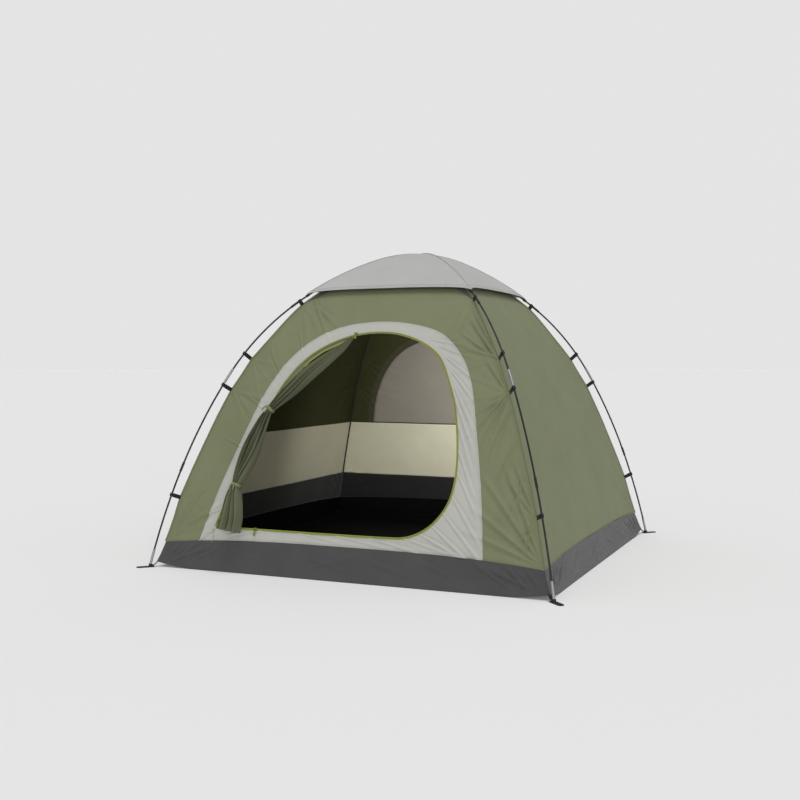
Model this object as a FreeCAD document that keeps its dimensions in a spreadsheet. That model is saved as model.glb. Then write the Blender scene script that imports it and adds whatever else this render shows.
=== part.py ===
import FreeCAD, Part
import os, math
import Sketcher
from FreeCAD import Vector, Placement, Rotation

# Two-pole dome tent, pitched: door side towards -Y, +X to the right, ground at Z = 0.
os.makedirs("parts", exist_ok=True)
doc = FreeCAD.newDocument("pole_tent")

DIMS = [
    # alias, value, meaning
    ("pole_dia", 9.0, "outer diameter of the glass-fibre pole sections"),
    ("pole_bore", 4.6, "bore of the pole sections"),
    ("cord_dia", 3.0, "shock cord"),
    ("section_len", 522.0, "pole section, joint to joint"),
    ("butt_gap", 0.4, "gap between two section ends inside a ferrule"),
    ("bend_a_1", 3617.6, "bend radius, pole a, outer section"),
    ("bend_a_2", 2933.4, "bend radius, pole a, second section"),
    ("bend_a_3", 1388.8, "bend radius, pole a, third section"),
    ("bend_a_4", 1634.1, "bend radius, pole a, fourth section"),
    ("bend_b_1", 3699.3, "bend radius, pole b, outer section"),
    ("bend_b_2", 2902.4, "bend radius, pole b, second section"),
    ("bend_b_3", 1393.6, "bend radius, pole b, third section"),
    ("bend_b_4", 1769.0, "bend radius, pole b, fourth section"),
    ("ferrule_dia", 12.4, "outer diameter of the ferrules"),
    ("ferrule_bore", 9.2, "bore of the ferrules"),
    ("ferrule_long", 88.0, "silver ferrule length"),
    ("ferrule_short", 50.0, "black ferrule length"),
    ("tip_dia", 12.4, "metal end tip"),
    ("tip_len", 84.0, "length of the end tip along the pole"),
    ("tip_pin_dia", 7.0, "pin at the bottom of the tip"),
    ("foot_plate_thick", 4.0, "foot plate"),
    ("foot_plate_width", 30.0, "foot plate"),
    ("foot_plate_len", 74.0, "foot plate, along the diagonal"),
    ("foot_cup_dia", 20.0, "foot cup"),
    ("foot_cup_height", 22.0, "foot cup"),
    ("stake_hole_dia", 9.0, "hole for a tent stake"),
    ("cloth", 3.0, "thickness kept for the tent fabric"),
    ("lining", 2.0, "thickness kept for the inner bands"),
    ("tub_height", 150.0, "height of the bathtub floor's wall"),
    ("tub_half_base", 1023.0, "half width of the floor"),
    ("tub_half_top", 985.8, "half width at the top of the tub"),
    ("wall_span", 2400.0, "length of the wall blank before mitring"),
    ("band_step", 300.0, "top of the dark inner band"),
    ("band_top", 650.0, "top of the pale inner band"),
    ("roof_half", 330.0, "half width of the mesh roof"),
    ("roof_rise", 128.0, "rise of the mesh roof"),
    ("web_width", 20.0, "webbing width"),
    ("web_thick", 1.6, "webbing thickness"),
    ("hook_len", 16.0, "length of a pole hook along the pole"),
    ("hook_dia", 17.6, "outside of a pole hook"),
    ("hook_bore", 11.6, "inside width of a pole hook"),
    ("reach_1", 26.9, "pole axis to seam at the roof clip"),
    ("reach_2", 51.5, "pole axis to seam at the upper clip"),
    ("reach_3", 53.5, "pole axis to seam at the middle clip"),
    ("reach_4", 49.6, "pole axis to seam at the lower clip"),
    ("zip_width", 7.0, "zip track width"),
    ("zip_rise", 2.4, "zip track height over the fabric"),
    ("slider_len", 18.0, "zip slider"),
    ("slider_wide", 16.0, "zip slider"),
    ("slider_high", 7.0, "zip slider"),
    ("pull_len", 34.0, "zip pull"),
    ("pull_wide", 8.0, "zip pull"),
    ("pull_thick", 2.0, "zip pull"),
    ("tail_dia", 3.0, "cord on the end of the zip"),
]
D = {}
sheet = doc.addObject("Spreadsheet::Sheet", "dims")
for i, (name, val, note) in enumerate(DIMS):
    r = i + 1
    sheet.set("A%d" % r, name)
    sheet.set("B%d" % r, str(val))
    sheet.setAlias("B%d" % r, name)
    sheet.set("C%d" % r, note)
    D[name] = val
doc.recompute()

NODES = []


def node(obj, label):
    obj.Label = label
    NODES.append(obj)
    return obj


def bind(obj, **kw):
    for prop, expr in kw.items():
        obj.setExpression(prop, expr)
    return obj


def box(name, lx, ly, lz, x, y, z, **kw):
    b = doc.addObject("Part::Box", name)
    b.Length, b.Width, b.Height = lx, ly, lz
    b.Placement = Placement(Vector(x, y, z), Rotation())
    return bind(b, **kw)


def cyl(name, r, hgt, place, **kw):
    c = doc.addObject("Part::Cylinder", name)
    c.Radius, c.Height = r, hgt
    c.Placement = place
    return bind(c, **kw)


def cut(name, a, b):
    o = doc.addObject("Part::Cut", name)
    o.Base, o.Tool = a, b
    return o


def fuse(name, items):
    o = doc.addObject("Part::MultiFuse", name)
    o.Shapes = items
    return o


def group(name, items, place=None):
    o = doc.addObject("Part::Compound", name)
    o.Links = items
    if place is not None:
        o.Placement = place
    return o


LEGS = {"fr": -45.0, "br": 45.0, "bl": 135.0, "fl": 225.0}
XAX, YAX, ZAX = Vector(1, 0, 0), Vector(0, 1, 0), Vector(0, 0, 1)


def turn(axis, deg):
    return Placement(Vector(), Rotation(axis, deg))


def move(x, y, z):
    return Placement(Vector(x, y, z), Rotation())


# ---------------------------------------------------------------- pole curves
FOOT_R, FOOT_Z = 1485.0, 8.0
LEAN = {"a": 14.31, "b": 14.426}


def pole_curve(which):
    L = D["section_len"]
    r0, z0, phi = FOOT_R, FOOT_Z, math.radians(LEAN[which])
    arcs = []
    for k in range(1, 5):
        r = D["bend_%s_%d" % (which, k)]
        arcs.append({"r": r, "c": (r0 - r * math.cos(phi), z0 - r * math.sin(phi)), "phi": phi, "len": L})
        phi2 = phi + L / r
        r0, z0 = arcs[-1]["c"][0] + r * math.cos(phi2), arcs[-1]["c"][1] + r * math.sin(phi2)
        phi = phi2
    r = r0 / math.cos(phi)
    arcs.append({"r": r, "c": (0.0, z0 - r * math.sin(phi)), "phi": phi, "len": r * (math.pi / 2 - phi)})
    return arcs


CURVE = {"a": pole_curve("a"), "b": pole_curve("b")}
for w in "ab":
    r = len(DIMS) + (1 if w == "a" else 2)
    sheet.set("A%d" % r, "bend_%s_5" % w)
    sheet.set("B%d" % r, "%.6f" % CURVE[w][4]["r"])
    sheet.setAlias("B%d" % r, "bend_%s_5" % w)
    sheet.set("C%d" % r, "bend radius of the centre section, from the others")
doc.recompute()


def pole_at(which, s_mm):
    L = D["section_len"]
    k = min(int(s_mm // L), 4)
    a = CURVE[which][k]
    ang = a["phi"] + (s_mm - k * L) / a["r"]
    return a["c"][0] + a["r"] * math.cos(ang), a["c"][1] + a["r"] * math.sin(ang), ang


def sector(name, which, k, s0, s1, psi, dia_expr, dia):
    a = CURVE[which][k]
    t = doc.addObject("Part::Torus", name)
    t.Radius1, t.Radius2 = a["r"], dia / 2.0
    t.Angle1, t.Angle2 = -180.0, 180.0
    t.Angle3 = math.degrees((s1 - s0) / a["r"])
    start = math.degrees(a["phi"] + (s0 - k * D["section_len"]) / a["r"])
    t.Placement = turn(ZAX, psi) * move(a["c"][0], 0, a["c"][1]) * turn(XAX, 90) * turn(ZAX, start)
    t.setExpression("Radius1", "dims.bend_%s_%d" % (which, k + 1))
    t.setExpression("Radius2", "dims.%s / 2" % dia_expr)
    return t


def tube(name, which, k, s0, s1, psi, outer, inner):
    o = sector(name + "_out", which, k, s0, s1, psi, outer, D[outer])
    i = sector(name + "_in", which, k, s0, s1, psi, inner, D[inner])
    return cut(name, o, i)


PSI = {"a": (-45.0, 135.0), "b": (45.0, 225.0)}
L = D["section_len"]
HALF = {w: 4 * L + CURVE[w][4]["len"] for w in "ab"}
TIP_FLOOR = 10.0
for w in "ab":
    for k in range(4):
        parts = []
        for j, psi in enumerate(PSI[w]):
            s0 = k * L + (0.2 if k else TIP_FLOOR + 0.2)
            s1 = (k + 1) * L - 0.2
            parts.append(tube("sec_%s%d_%d" % (w, k + 1, j), w, k, s0, s1, psi, "pole_dia", "pole_bore"))
        node(group("grp_sec_%s%d" % (w, k + 1), parts), "pole_%s_section_%d" % (w, k + 1))
    # the centre section crosses the apex in one arc
    a = CURVE[w][4]
    psi = PSI[w][0]
    e0 = 0.2
    o = sector("sec_%s5_out" % w, w, 4, 4 * L + e0, 4 * L + 2 * a["len"] - e0, psi, "pole_dia", D["pole_dia"])
    i = sector("sec_%s5_in" % w, w, 4, 4 * L + e0, 4 * L + 2 * a["len"] - e0, psi, "pole_bore", D["pole_bore"])
    node(cut("sec_%s5" % w, o, i), "pole_%s_section_5" % w)
    # one elastic cord runs the whole length inside
    pieces = []
    for j, psi in enumerate(PSI[w]):
        for k in range(4):
            s0 = k * L + (TIP_FLOOR + 1.0 if k == 0 else 0.0)
            pieces.append(sector("cord_%s_%d_%d" % (w, j, k), w, k, s0, (k + 1) * L, psi, "cord_dia", D["cord_dia"]))
    pieces.append(sector("cord_%s_mid" % w, w, 4, 4 * L, 4 * L + 2 * a["len"], PSI[w][0], "cord_dia", D["cord_dia"]))
    node(fuse("shock_%s" % w, pieces), "shock_cord_%s" % w)

silver, black = [], []
for w in "ab":
    for j, psi in enumerate(PSI[w]):
        for k in range(4):
            flen = D["ferrule_long"] if k in (1, 3) else D["ferrule_short"]
            s = (k + 1) * L
            nm = "fer_%s%d_%d" % (w, k, j)
            o = fuse(nm + "_o", [sector(nm + "_o1", w, k, s - flen / 2, s, psi, "ferrule_dia", D["ferrule_dia"]),
                                 sector(nm + "_o2", w, k + 1, s, s + flen / 2, psi, "ferrule_dia", D["ferrule_dia"])])
            i = fuse(nm + "_i", [sector(nm + "_i1", w, k, s - flen / 2, s, psi, "ferrule_bore", D["ferrule_bore"]),
                                 sector(nm + "_i2", w, k + 1, s, s + flen / 2, psi, "ferrule_bore", D["ferrule_bore"])])
            (silver if k in (1, 3) else black).append(cut(nm, o, i))
node(group("grp_silver", silver), "ferrules_silver")
node(group("grp_black", black), "ferrules_black")

# metal end tips with a pin that stands in the foot cup
tips, feet, straps = [], [], []
for w in "ab":
    for j, psi in enumerate(PSI[w]):
        nm = "tip_%s%d" % (w, j)
        o = sector(nm + "_o", w, 0, 4.0, D["tip_len"], psi, "tip_dia", D["tip_dia"])
        i = sector(nm + "_i", w, 0, TIP_FLOOR, D["tip_len"], psi, "ferrule_bore", D["ferrule_bore"])
        sleeve = cut(nm + "_s", o, i)
        foot = turn(ZAX, psi) * move(FOOT_R, 0, FOOT_Z) * turn(YAX, -LEAN[w])
        pin = cyl(nm + "_p", 3.5, 8.0, foot * move(0, 0, -2.0), Radius="dims.tip_pin_dia / 2")
        tips.append(fuse(nm, [sleeve, pin]))
        fn = "foot_%s%d" % (w, j)
        plate = box(fn + "_plate", 74, 30, 4, 0, 0, 0, Length="dims.foot_plate_len",
                    Width="dims.foot_plate_width", Height="dims.foot_plate_thick")
        plate.Placement = turn(ZAX, psi) * move(FOOT_R - 20, -15, 0)
        toe = cyl(fn + "_toe", 15, 4, turn(ZAX, psi) * move(FOOT_R + 54, 0, 0), Radius="dims.foot_plate_width / 2",
                  Height="dims.foot_plate_thick")
        cup = cyl(fn + "_cup", 10, 22, turn(ZAX, psi) * move(FOOT_R, 0, 0) * turn(YAX, -LEAN[w]) * move(0, 0, -6.0),
                  Radius="dims.foot_cup_dia / 2")
        solid = fuse(fn + "_sum", [plate, toe, cup])
        keep = box(fn + "_keep", 400, 400, 60, FOOT_R - 200, -200, 0)
        keep.Placement = turn(ZAX, psi) * move(FOOT_R - 200, -200, 0)
        com = doc.addObject("Part::MultiCommon", fn + "_trim")
        com.Shapes = [solid, keep]
        bore = cyl(fn + "_bore", 3.8, 60, foot * move(0, 0, -2.2))
        mouth = cyl(fn + "_mouth", 6.5, 60, foot * move(0, 0, 3.6), Radius="dims.tip_dia / 2 + 0.3")
        hole = cyl(fn + "_hole", 4.5, 30, turn(ZAX, psi) * move(FOOT_R + 54, 0, -10), Radius="dims.stake_hole_dia / 2")
        feet.append(cut(fn, com, fuse(fn + "_cuts", [bore, mouth, hole])))
        sn = "strap_%s%d" % (w, j)
        band = box(sn + "_b", 24, 20, 1.6, 0, 0, 0, Width="dims.web_width", Height="dims.web_thick")
        band.Placement = turn(ZAX, psi) * move(FOOT_R - 36.5, -10, 4.2)
        straps.append(band)
node(group("grp_tips", tips), "pole_end_tips")
node(group("grp_feet", feet), "foot_cups")
node(group("grp_straps", straps), "corner_straps")

# ---------------------------------------------------------------- wall profile
# Outer face of every wall in a section square to it: distance from the tent axis against height.
WALL_START = (D["tub_half_top"], D["tub_height"])
WALL_LEAN = 12.1
WALL_ARCS = [(4236.0, 442.0), (3304.0, 427.0), (1992.0, 270.0), (1010.0, 0.0)]
WALL_TOP = 1452.0


def wall_arcs():
    y, z = WALL_START
    phi = math.radians(WALL_LEAN)
    out = []
    for r, ln in WALL_ARCS:
        c = (y - r * math.cos(phi), z - r * math.sin(phi))
        if ln == 0.0:
            phi2 = math.asin((WALL_TOP - c[1]) / r)
        else:
            phi2 = phi + ln / r
        out.append({"c": c, "r": r, "a0": phi, "a1": phi2})
        y, z, phi = c[0] + r * math.cos(phi2), c[1] + r * math.sin(phi2), phi2
    return out


ARCS = wall_arcs()
print("wall top", ARCS[-1]["c"][0] + ARCS[-1]["r"] * math.cos(ARCS[-1]["a1"]), math.degrees(ARCS[-1]["a1"]))


def wall_point(z, off=0.0):
    """distance from the axis of the wall's outer face, moved out by off, at height z, and its lean"""
    for a in ARCS:
        rr = a["r"] + off
        zt = a["c"][1] + rr * math.sin(a["a1"])
        if z <= zt + 1e-9 or a is ARCS[-1]:
            ang = math.asin((z - a["c"][1]) / rr)
            return a["c"][0] + rr * math.cos(ang), ang
    return None


def strip_sketch(body, name, z0, z1, off_out, off_in):
    """closed strip between two offsets of the wall curve, on the body's YZ plane, wall on the -Y side"""
    sk = body.newObject("Sketcher::SketchObject", name)
    plane = [f for f in body.Origin.OriginFeatures if f.Role == "YZ_Plane"][0]
    sk.AttachmentSupport = [(plane, "")]
    sk.MapMode = "FlatFace"
    geo, ends = [], []
    for off, rev in ((off_out, False), (off_in, True)):
        seq = []
        for a in ARCS:
            r = a["r"] + off
            lo = max(a["a0"], math.asin(max(-1, min(1, (z0 - a["c"][1]) / r))))
            hi = min(a["a1"], math.asin(max(-1, min(1, (z1 - a["c"][1]) / r)))) if a is not ARCS[-1] else \
                math.asin(max(-1, min(1, (z1 - a["c"][1]) / r)))
            if a is ARCS[0]:
                lo = math.asin(max(-1, min(1, (z0 - a["c"][1]) / r)))
            if hi - lo < 1e-5:
                continue
            seq.append((a, r, lo, hi))
        ends.append(seq)
        for a, r, lo, hi in seq:
            # mirrored to the -Y side: angle measured from -Y
            circ = Part.Circle(Vector(-a["c"][0], a["c"][1], 0), Vector(0, 0, 1), r)
            geo.append(Part.ArcOfCircle(circ, math.pi - hi, math.pi - lo))

    def pt(item, ang):
        a, r, lo, hi = item
        return Vector(-(a["c"][0] + r * math.cos(ang)), a["c"][1] + r * math.sin(ang), 0)
    o, i = ends
    geo.append(Part.LineSegment(pt(o[0], o[0][2]), pt(i[0], i[0][2])))
    geo.append(Part.LineSegment(pt(o[-1], o[-1][3]), pt(i[-1], i[-1][3])))
    sk.addGeometry(geo, False)
    return sk


def poly_sketch(body, name, role, loops):
    sk = body.newObject("Sketcher::SketchObject", name)
    plane = [f for f in body.Origin.OriginFeatures if f.Role == role][0]
    sk.AttachmentSupport = [(plane, "")]
    sk.MapMode = "FlatFace"
    geo = []
    for lp in loops:
        if isinstance(lp, dict):
            crv = Part.BSplineCurve()
            crv.interpolate([Vector(x, z, 0) for x, z in lp["spline"]])
            geo.append(crv)
            p0, p1 = lp["spline"][0], lp["spline"][-1]
            chain = [p1] + lp.get("line", []) + [p0]
            for q0, q1 in zip(chain[:-1], chain[1:]):
                geo.append(Part.LineSegment(Vector(q0[0], q0[1], 0), Vector(q1[0], q1[1], 0)))
        else:
            for q0, q1 in zip(lp, lp[1:] + lp[:1]):
                geo.append(Part.LineSegment(Vector(q0[0], q0[1], 0), Vector(q1[0], q1[1], 0)))
    sk.addGeometry(geo, False)
    return sk


def pocket_all(body, name, sk):
    p = body.newObject("PartDesign::Pocket", name)
    p.Profile = sk
    p.Type = 1
    p.Midplane = True
    body.Tip = p
    doc.recompute()
    return p


def wall_body(name, z0, z1, off_out, off_in, outlines_cut=(), outlines_keep=None, trim=None, mitre=True):
    body = doc.addObject("PartDesign::Body", name)
    sk = strip_sketch(body, name + "_profile", z0, z1, off_out, off_in)
    pad = body.newObject("PartDesign::Pad", name + "_pad")
    pad.Profile = sk
    pad.Length = D["wall_span"]
    pad.Midplane = True
    body.Tip = pad
    doc.recompute()
    pad.setExpression("Length", "dims.wall_span")
    doc.recompute()
    vol = body.Shape.Volume
    W = 1300.0
    g = 0.15
    if mitre:
        m = poly_sketch(body, name + "_mitre", "XY_Plane",
                        [[(0.5, -0.5 - g), (W, -W - g), (W + 400, -W - g), (W + 400, 0), (0.5, 0)],
                         [(-0.5, -0.5 - g), (-0.5, 0), (-W - 400, 0), (-W - 400, -W - g), (-W, -W - g)]])
        pocket_all(body, name + "_mitres", m)
        assert body.Shape.Volume < vol * 0.98, name
        vol = body.Shape.Volume
    if trim:
        t = poly_sketch(body, name + "_trim", "XZ_Plane", [trim])
        pocket_all(body, name + "_trimmed", t)
        vol = body.Shape.Volume
    if outlines_keep:
        big = [(-1500, -50), (1500, -50), (1500, 1700), (-1500, 1700)]
        kp = poly_sketch(body, name + "_outside", "XZ_Plane", [big, outlines_keep])
        pocket_all(body, name + "_kept", kp)
        assert body.Shape.Volume < vol * 0.98, name
        vol = body.Shape.Volume
    for n, oc in enumerate(outlines_cut):
        s = poly_sketch(body, name + "_open%d" % n, "XZ_Plane", [oc])
        pocket_all(body, name + "_opened%d" % n, s)
        assert body.Shape.Volume < vol - 1.0, name
        vol = body.Shape.Volume
    return body


# ---------------------------------------------------------------- outlines in the front view (x, z)
def wall_outline(pts, dist):
    """closed outline moved outwards by dist (polygon offset, for even-spaced points)"""
    n = len(pts)
    res = []
    area = sum(pts[i][0] * pts[(i + 1) % n][1] - pts[(i + 1) % n][0] * pts[i][1] for i in range(n))
    sgn = 1.0 if area > 0 else -1.0
    for i in range(n):
        p, a, b = pts[i], pts[i - 1], pts[(i + 1) % n]
        n1 = (a[1] - p[1], p[0] - a[0])
        n2 = (p[1] - b[1], b[0] - p[0])
        l1, l2 = math.hypot(*n1), math.hypot(*n2)
        # outward normals of the two sides
        u1 = (-sgn * n1[0] / l1, -sgn * n1[1] / l1)
        u2 = (-sgn * n2[0] / l2, -sgn * n2[1] / l2)
        sx, sz = u1[0] + u2[0], u1[1] + u2[1]
        k = dist * 2.0 / max(sx * sx + sz * sz, 0.5)
        res.append((p[0] + k * sx, p[1] + k * sz))
    return res


def slope_len(z):
    """length up the wall's face from the top of the tub to height z"""
    total = 0.0
    for a in ARCS:
        ang = math.asin((z - a["c"][1]) / a["r"]) if abs(z - a["c"][1]) < a["r"] else a["a1"]
        if ang <= a["a1"] or a is ARCS[-1]:
            return total + (ang - a["a0"]) * a["r"]
        total += (a["a1"] - a["a0"]) * a["r"]
    return total


def slope_z(length):
    for a in ARCS:
        seg = (a["a1"] - a["a0"]) * a["r"]
        if length <= seg or a is ARCS[-1]:
            return a["c"][1] + a["r"] * math.sin(a["a0"] + length / a["r"])
        length -= seg


def face_outline(pts, dist):
    """the same offset, measured on the face of the wall"""
    flat = wall_outline([(x, slope_len(z)) for x, z in pts], dist)
    return [(x, slope_z(v)) for x, v in flat]


DOOR_BOTTOM = 218.0
# top of the door: a true circle in the plane that touches the wall there
ARCH = {"x": 15.0, "z": 1186.0, "r": 500.0, "tilt": math.degrees(wall_point(1186.0)[1])}


def arch_pt(deg, r=None):
    rr = ARCH["r"] if r is None else r
    t = math.radians(deg)
    down = rr * (1 - math.cos(t)) + (ARCH["r"] - rr)
    return (ARCH["x"] + rr * math.sin(t), ARCH["z"] - down * math.cos(math.radians(ARCH["tilt"])))


door_arch = [arch_pt(38.0 - 4.0 * i) for i in range(20)]
DOOR = [(250, DOOR_BOTTOM), (330, 228), (396, 256), (452, 300), (500, 366), (524, 430), (534, 500), (533, 570), (527, 640),
        (508, 747), (483, 841), (456, 905), (424, 968), (402, 1012), (378, 1047), (352, 1074)] + door_arch + \
       [(-334, 1068), (-374, 1030), (-412, 985), (-450, 925), (-476, 868), (-503, 800), (-530, 720), (-566, 620), (-617, 478),
        (-664, 350), (-706, DOOR_BOTTOM)]
SURROUND = [(-796, 150.0), (-755, 280), (-716, 416), (-674, 538), (-631, 658), (-594, 768), (-556, 876), (-526, 938), (-492, 1000),
            (-455, 1052), (-411, 1100), (-362, 1142), (-306, 1178), (-250, 1205), (-189, 1224), (-126, 1236), (-60, 1243),
            (10, 1246), (80, 1243), (150, 1236), (219, 1224), (286, 1208), (350, 1184), (406, 1148), (456, 1102), (497, 1053),
            (532, 997), (561, 927), (584, 849), (602, 775), (620, 695), (639, 610), (656, 518), (672, 420), (684, 330),
            (694, 240), (702, 150.0)]
WIN_TOP, WIN_R = 1192.0, 866.0
WIN_TILT = wall_point(WIN_TOP)[1]


def win_pt(deg):
    a = math.radians(deg)
    return (WIN_R * math.sin(a), WIN_TOP - WIN_R * (1 - math.cos(a)) * math.cos(WIN_TILT))


win_side = [(672, 650.0), (656, 722), (632, 792), (602, 860), (566, 922), (521, 982), (471, 1036), (423, 1076), (370, 1111),
            (315, 1138)]
WINDOW = win_side + [win_pt(16.0 - 2.0 * i) for i in range(17)] + [(-x, z) for x, z in win_side[::-1]]

T = D["cloth"]
Z0, ZT = D["tub_height"] + 0.2, WALL_TOP


def rotated(body, deg):
    body.Placement = turn(ZAX, deg)
    return body


surround_cut = [(x, z) for x, z in SURROUND]
surround_cut[0] = (SURROUND[0][0] - 12, 100.0)
surround_cut[-1] = (SURROUND[-1][0] + 4, 100.0)
border_out = wall_outline(WINDOW, 52.0)
border_out[0] = (border_out[0][0], 600.0)
border_out[-1] = (border_out[-1][0], 600.0)

node(wall_body("wall_front_body", Z0, ZT, 0, -T, outlines_cut=[surround_cut]), "wall_front")
node(rotated(wall_body("wall_right_body", Z0, ZT, 0, -T), 90), "wall_right")
node(rotated(wall_body("wall_back_body", Z0, ZT, 0, -T, outlines_cut=[border_out]), 180), "wall_back")
node(rotated(wall_body("wall_left_body", Z0, ZT, 0, -T), 270), "wall_left")
surround_keep = wall_outline(surround_cut, -0.15)
surround_keep[0] = (surround_cut[0][0] + 0.3, 100.0)
surround_keep[-1] = (surround_cut[-1][0] - 0.3, 100.0)
node(wall_body("door_surround_body", Z0, 1300, 0, -T, outlines_cut=[DOOR], outlines_keep=surround_keep, mitre=False), "door_surround")
window_keep = wall_outline(WINDOW, -0.2)
border_keep = wall_outline(border_out, -0.2)
node(rotated(wall_body("window_border_body", 590, 1300, 0, -T, outlines_cut=[WINDOW], outlines_keep=border_keep, mitre=False), 180),
     "window_border")
node(rotated(wall_body("window_panel_body", 590, 1300, -0.4, -T + 0.2, outlines_keep=window_keep, mitre=False), 180), "window_panel")

# inner bands on the left, back and right walls
dark, pale = [], []
for nm, deg in (("right", 90), ("back", 180), ("left", 270)):
    dark.append(rotated(wall_body("band_dark_" + nm, Z0 + 2, D["band_step"], -T - 0.2, -T - 0.2 - D["lining"]), deg))
    pale.append(rotated(wall_body("band_pale_" + nm, D["band_step"] + 0.3, D["band_top"] - 2, -T - 0.2, -T - 0.2 - D["lining"]), deg))
node(group("grp_dark", dark), "inner_band_dark")
node(group("grp_pale", pale), "inner_band_pale")


# ---------------------------------------------------------------- bathtub floor and mesh roof
def frustum(name, z0, z1, h0, h1):
    wdg = doc.addObject("Part::Wedge", name)
    wdg.Xmin, wdg.Xmax, wdg.Zmin, wdg.Zmax = -h0, h0, -h0, h0
    wdg.X2min, wdg.X2max, wdg.Z2min, wdg.Z2max = -h1, h1, -h1, h1
    wdg.Ymin, wdg.Ymax = z0, z1
    wdg.Placement = turn(XAX, 90)
    return wdg


def side_at(h0, h1, z0, z1, z):
    return h0 + (h1 - h0) * (z - z0) / (z1 - z0)


tub_out = frustum("tub_outer", 0, D["tub_height"], D["tub_half_base"], D["tub_half_top"])
hb, ht, th = D["tub_half_base"], D["tub_half_top"], D["tub_height"]
tub_in = frustum("tub_inner", T, th + 10, side_at(hb, ht, 0, th, T) - T, side_at(hb, ht, 0, th, th + 10) - T)
for prop, expr in (("Xmin", "-dims.tub_half_base"), ("Xmax", "dims.tub_half_base"), ("Zmin", "-dims.tub_half_base"),
                   ("Zmax", "dims.tub_half_base"), ("X2min", "-dims.tub_half_top"), ("X2max", "dims.tub_half_top"),
                   ("Z2min", "-dims.tub_half_top"), ("Z2max", "dims.tub_half_top"), ("Ymax", "dims.tub_height")):
    tub_out.setExpression(prop, expr)
node(cut("tub_cut", tub_out, tub_in), "tub_floor")

rh = wall_point(WALL_TOP)[0] - 0.3
roof_out = frustum("roof_outer", WALL_TOP + 0.2, WALL_TOP + D["roof_rise"], rh, 30.0)
roof_in = frustum("roof_inner", WALL_TOP + 0.2 - 10, WALL_TOP + D["roof_rise"] - T, side_at(rh, 30, 0.2, D["roof_rise"], -10) - 7,
                  side_at(rh, 30, 0.2, D["roof_rise"], D["roof_rise"] - T) - 7)
node(cut("roof_cut", roof_out, roof_in), "roof_mesh")

# grey reinforcement at the four upper corners, lying on the walls
patches = []
for leg, deg in (("fr", 0), ("br", 90), ("bl", 180), ("fl", 270)):
    for side in (1, -1):
        tri_keep = [(side * 560, 1336), (side * 470, 1426), (side * 340, 1418)]
        if side < 0:
            tri_keep = tri_keep[::-1]
        b = wall_body("patch_%s_%d" % (leg, side), 1300, 1440, 2.0, 0.15, outlines_keep=tri_keep, mitre=True)
        patches.append(rotated(b, deg))
node(group("grp_patch", patches), "corner_patches")


# ---------------------------------------------------------------- roof cap: four curved gores in one sheet
CAP_IN, CAP_OUT = 7.4, 10.9


def cap_curve(off):
    """points (a, z) across the cap: the upper pole's curve in the diagonal plane, moved out, seen square to a wall"""
    pts = []
    n = 16
    s_end, s_start = HALF["b"], 1590.0
    for i in range(n + 1):
        s_mm = s_start + (s_end - s_start) * i / n
        R, z, ang = pole_at("b", s_mm)
        pts.append(((R + off * math.cos(ang)) / math.sqrt(2), z + off * math.sin(ang)))
    pts[-1] = (0.0, pts[-1][1])
    return pts


def vault(tag, off):
    half = cap_curve(off)
    curve = [(-a, z) for a, z in half] + [(a, z) for a, z in half[::-1][1:]]
    bodies = []
    for n, deg in enumerate((0, 90)):
        b = doc.addObject("PartDesign::Body", "cap_%s_%d" % (tag, n))
        sk = poly_sketch(b, "cap_%s_%d_sk" % (tag, n), "YZ_Plane",
                         [{"spline": curve, "line": [(half[0][0], 1200.0), (-half[0][0], 1200.0)]}])
        p = b.newObject("PartDesign::Pad", "cap_%s_%d_pad" % (tag, n))
        p.Profile = sk
        p.Length = 1400
        p.Midplane = True
        b.Tip = p
        b.Placement = turn(ZAX, deg)
        bodies.append(b)
    doc.recompute()
    com = doc.addObject("Part::MultiCommon", "cap_%s" % tag)
    com.Shapes = bodies
    return com


shell = cut("cap_shell", vault("outer", CAP_OUT), vault("inner", CAP_IN))
CAP_CORNER, CAP_MID = 446.0, 414.0
plan = doc.addObject("PartDesign::Body", "cap_plan")
hem = []
for q in range(4):
    for t in (-1.0, -0.75, -0.5, -0.25, 0.0, 0.25, 0.5, 0.75):
        x, y = CAP_CORNER * t, -(CAP_MID + (CAP_CORNER - CAP_MID) * t * t)
        c, s_ = math.cos(q * math.pi / 2), math.sin(q * math.pi / 2)
        hem.append((x * c - y * s_, x * s_ + y * c))
psk = poly_sketch(plan, "cap_plan_sk", "XY_Plane", [hem])
pp = plan.newObject("PartDesign::Pad", "cap_plan_pad")
pp.Profile = psk
pp.Length = 4000
pp.Midplane = True
plan.Tip = pp
doc.recompute()
capc = doc.addObject("Part::MultiCommon", "cap_common")
capc.Shapes = [shell, plan]
node(capc, "roof_cap")


# ---------------------------------------------------------------- pole clips and cap hooks
def leg_frame(psi, s_mm, which):
    R, z, ang = pole_at(which, s_mm)
    return turn(ZAX, psi) * move(R, 0, z) * turn(YAX, -math.degrees(ang))


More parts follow.
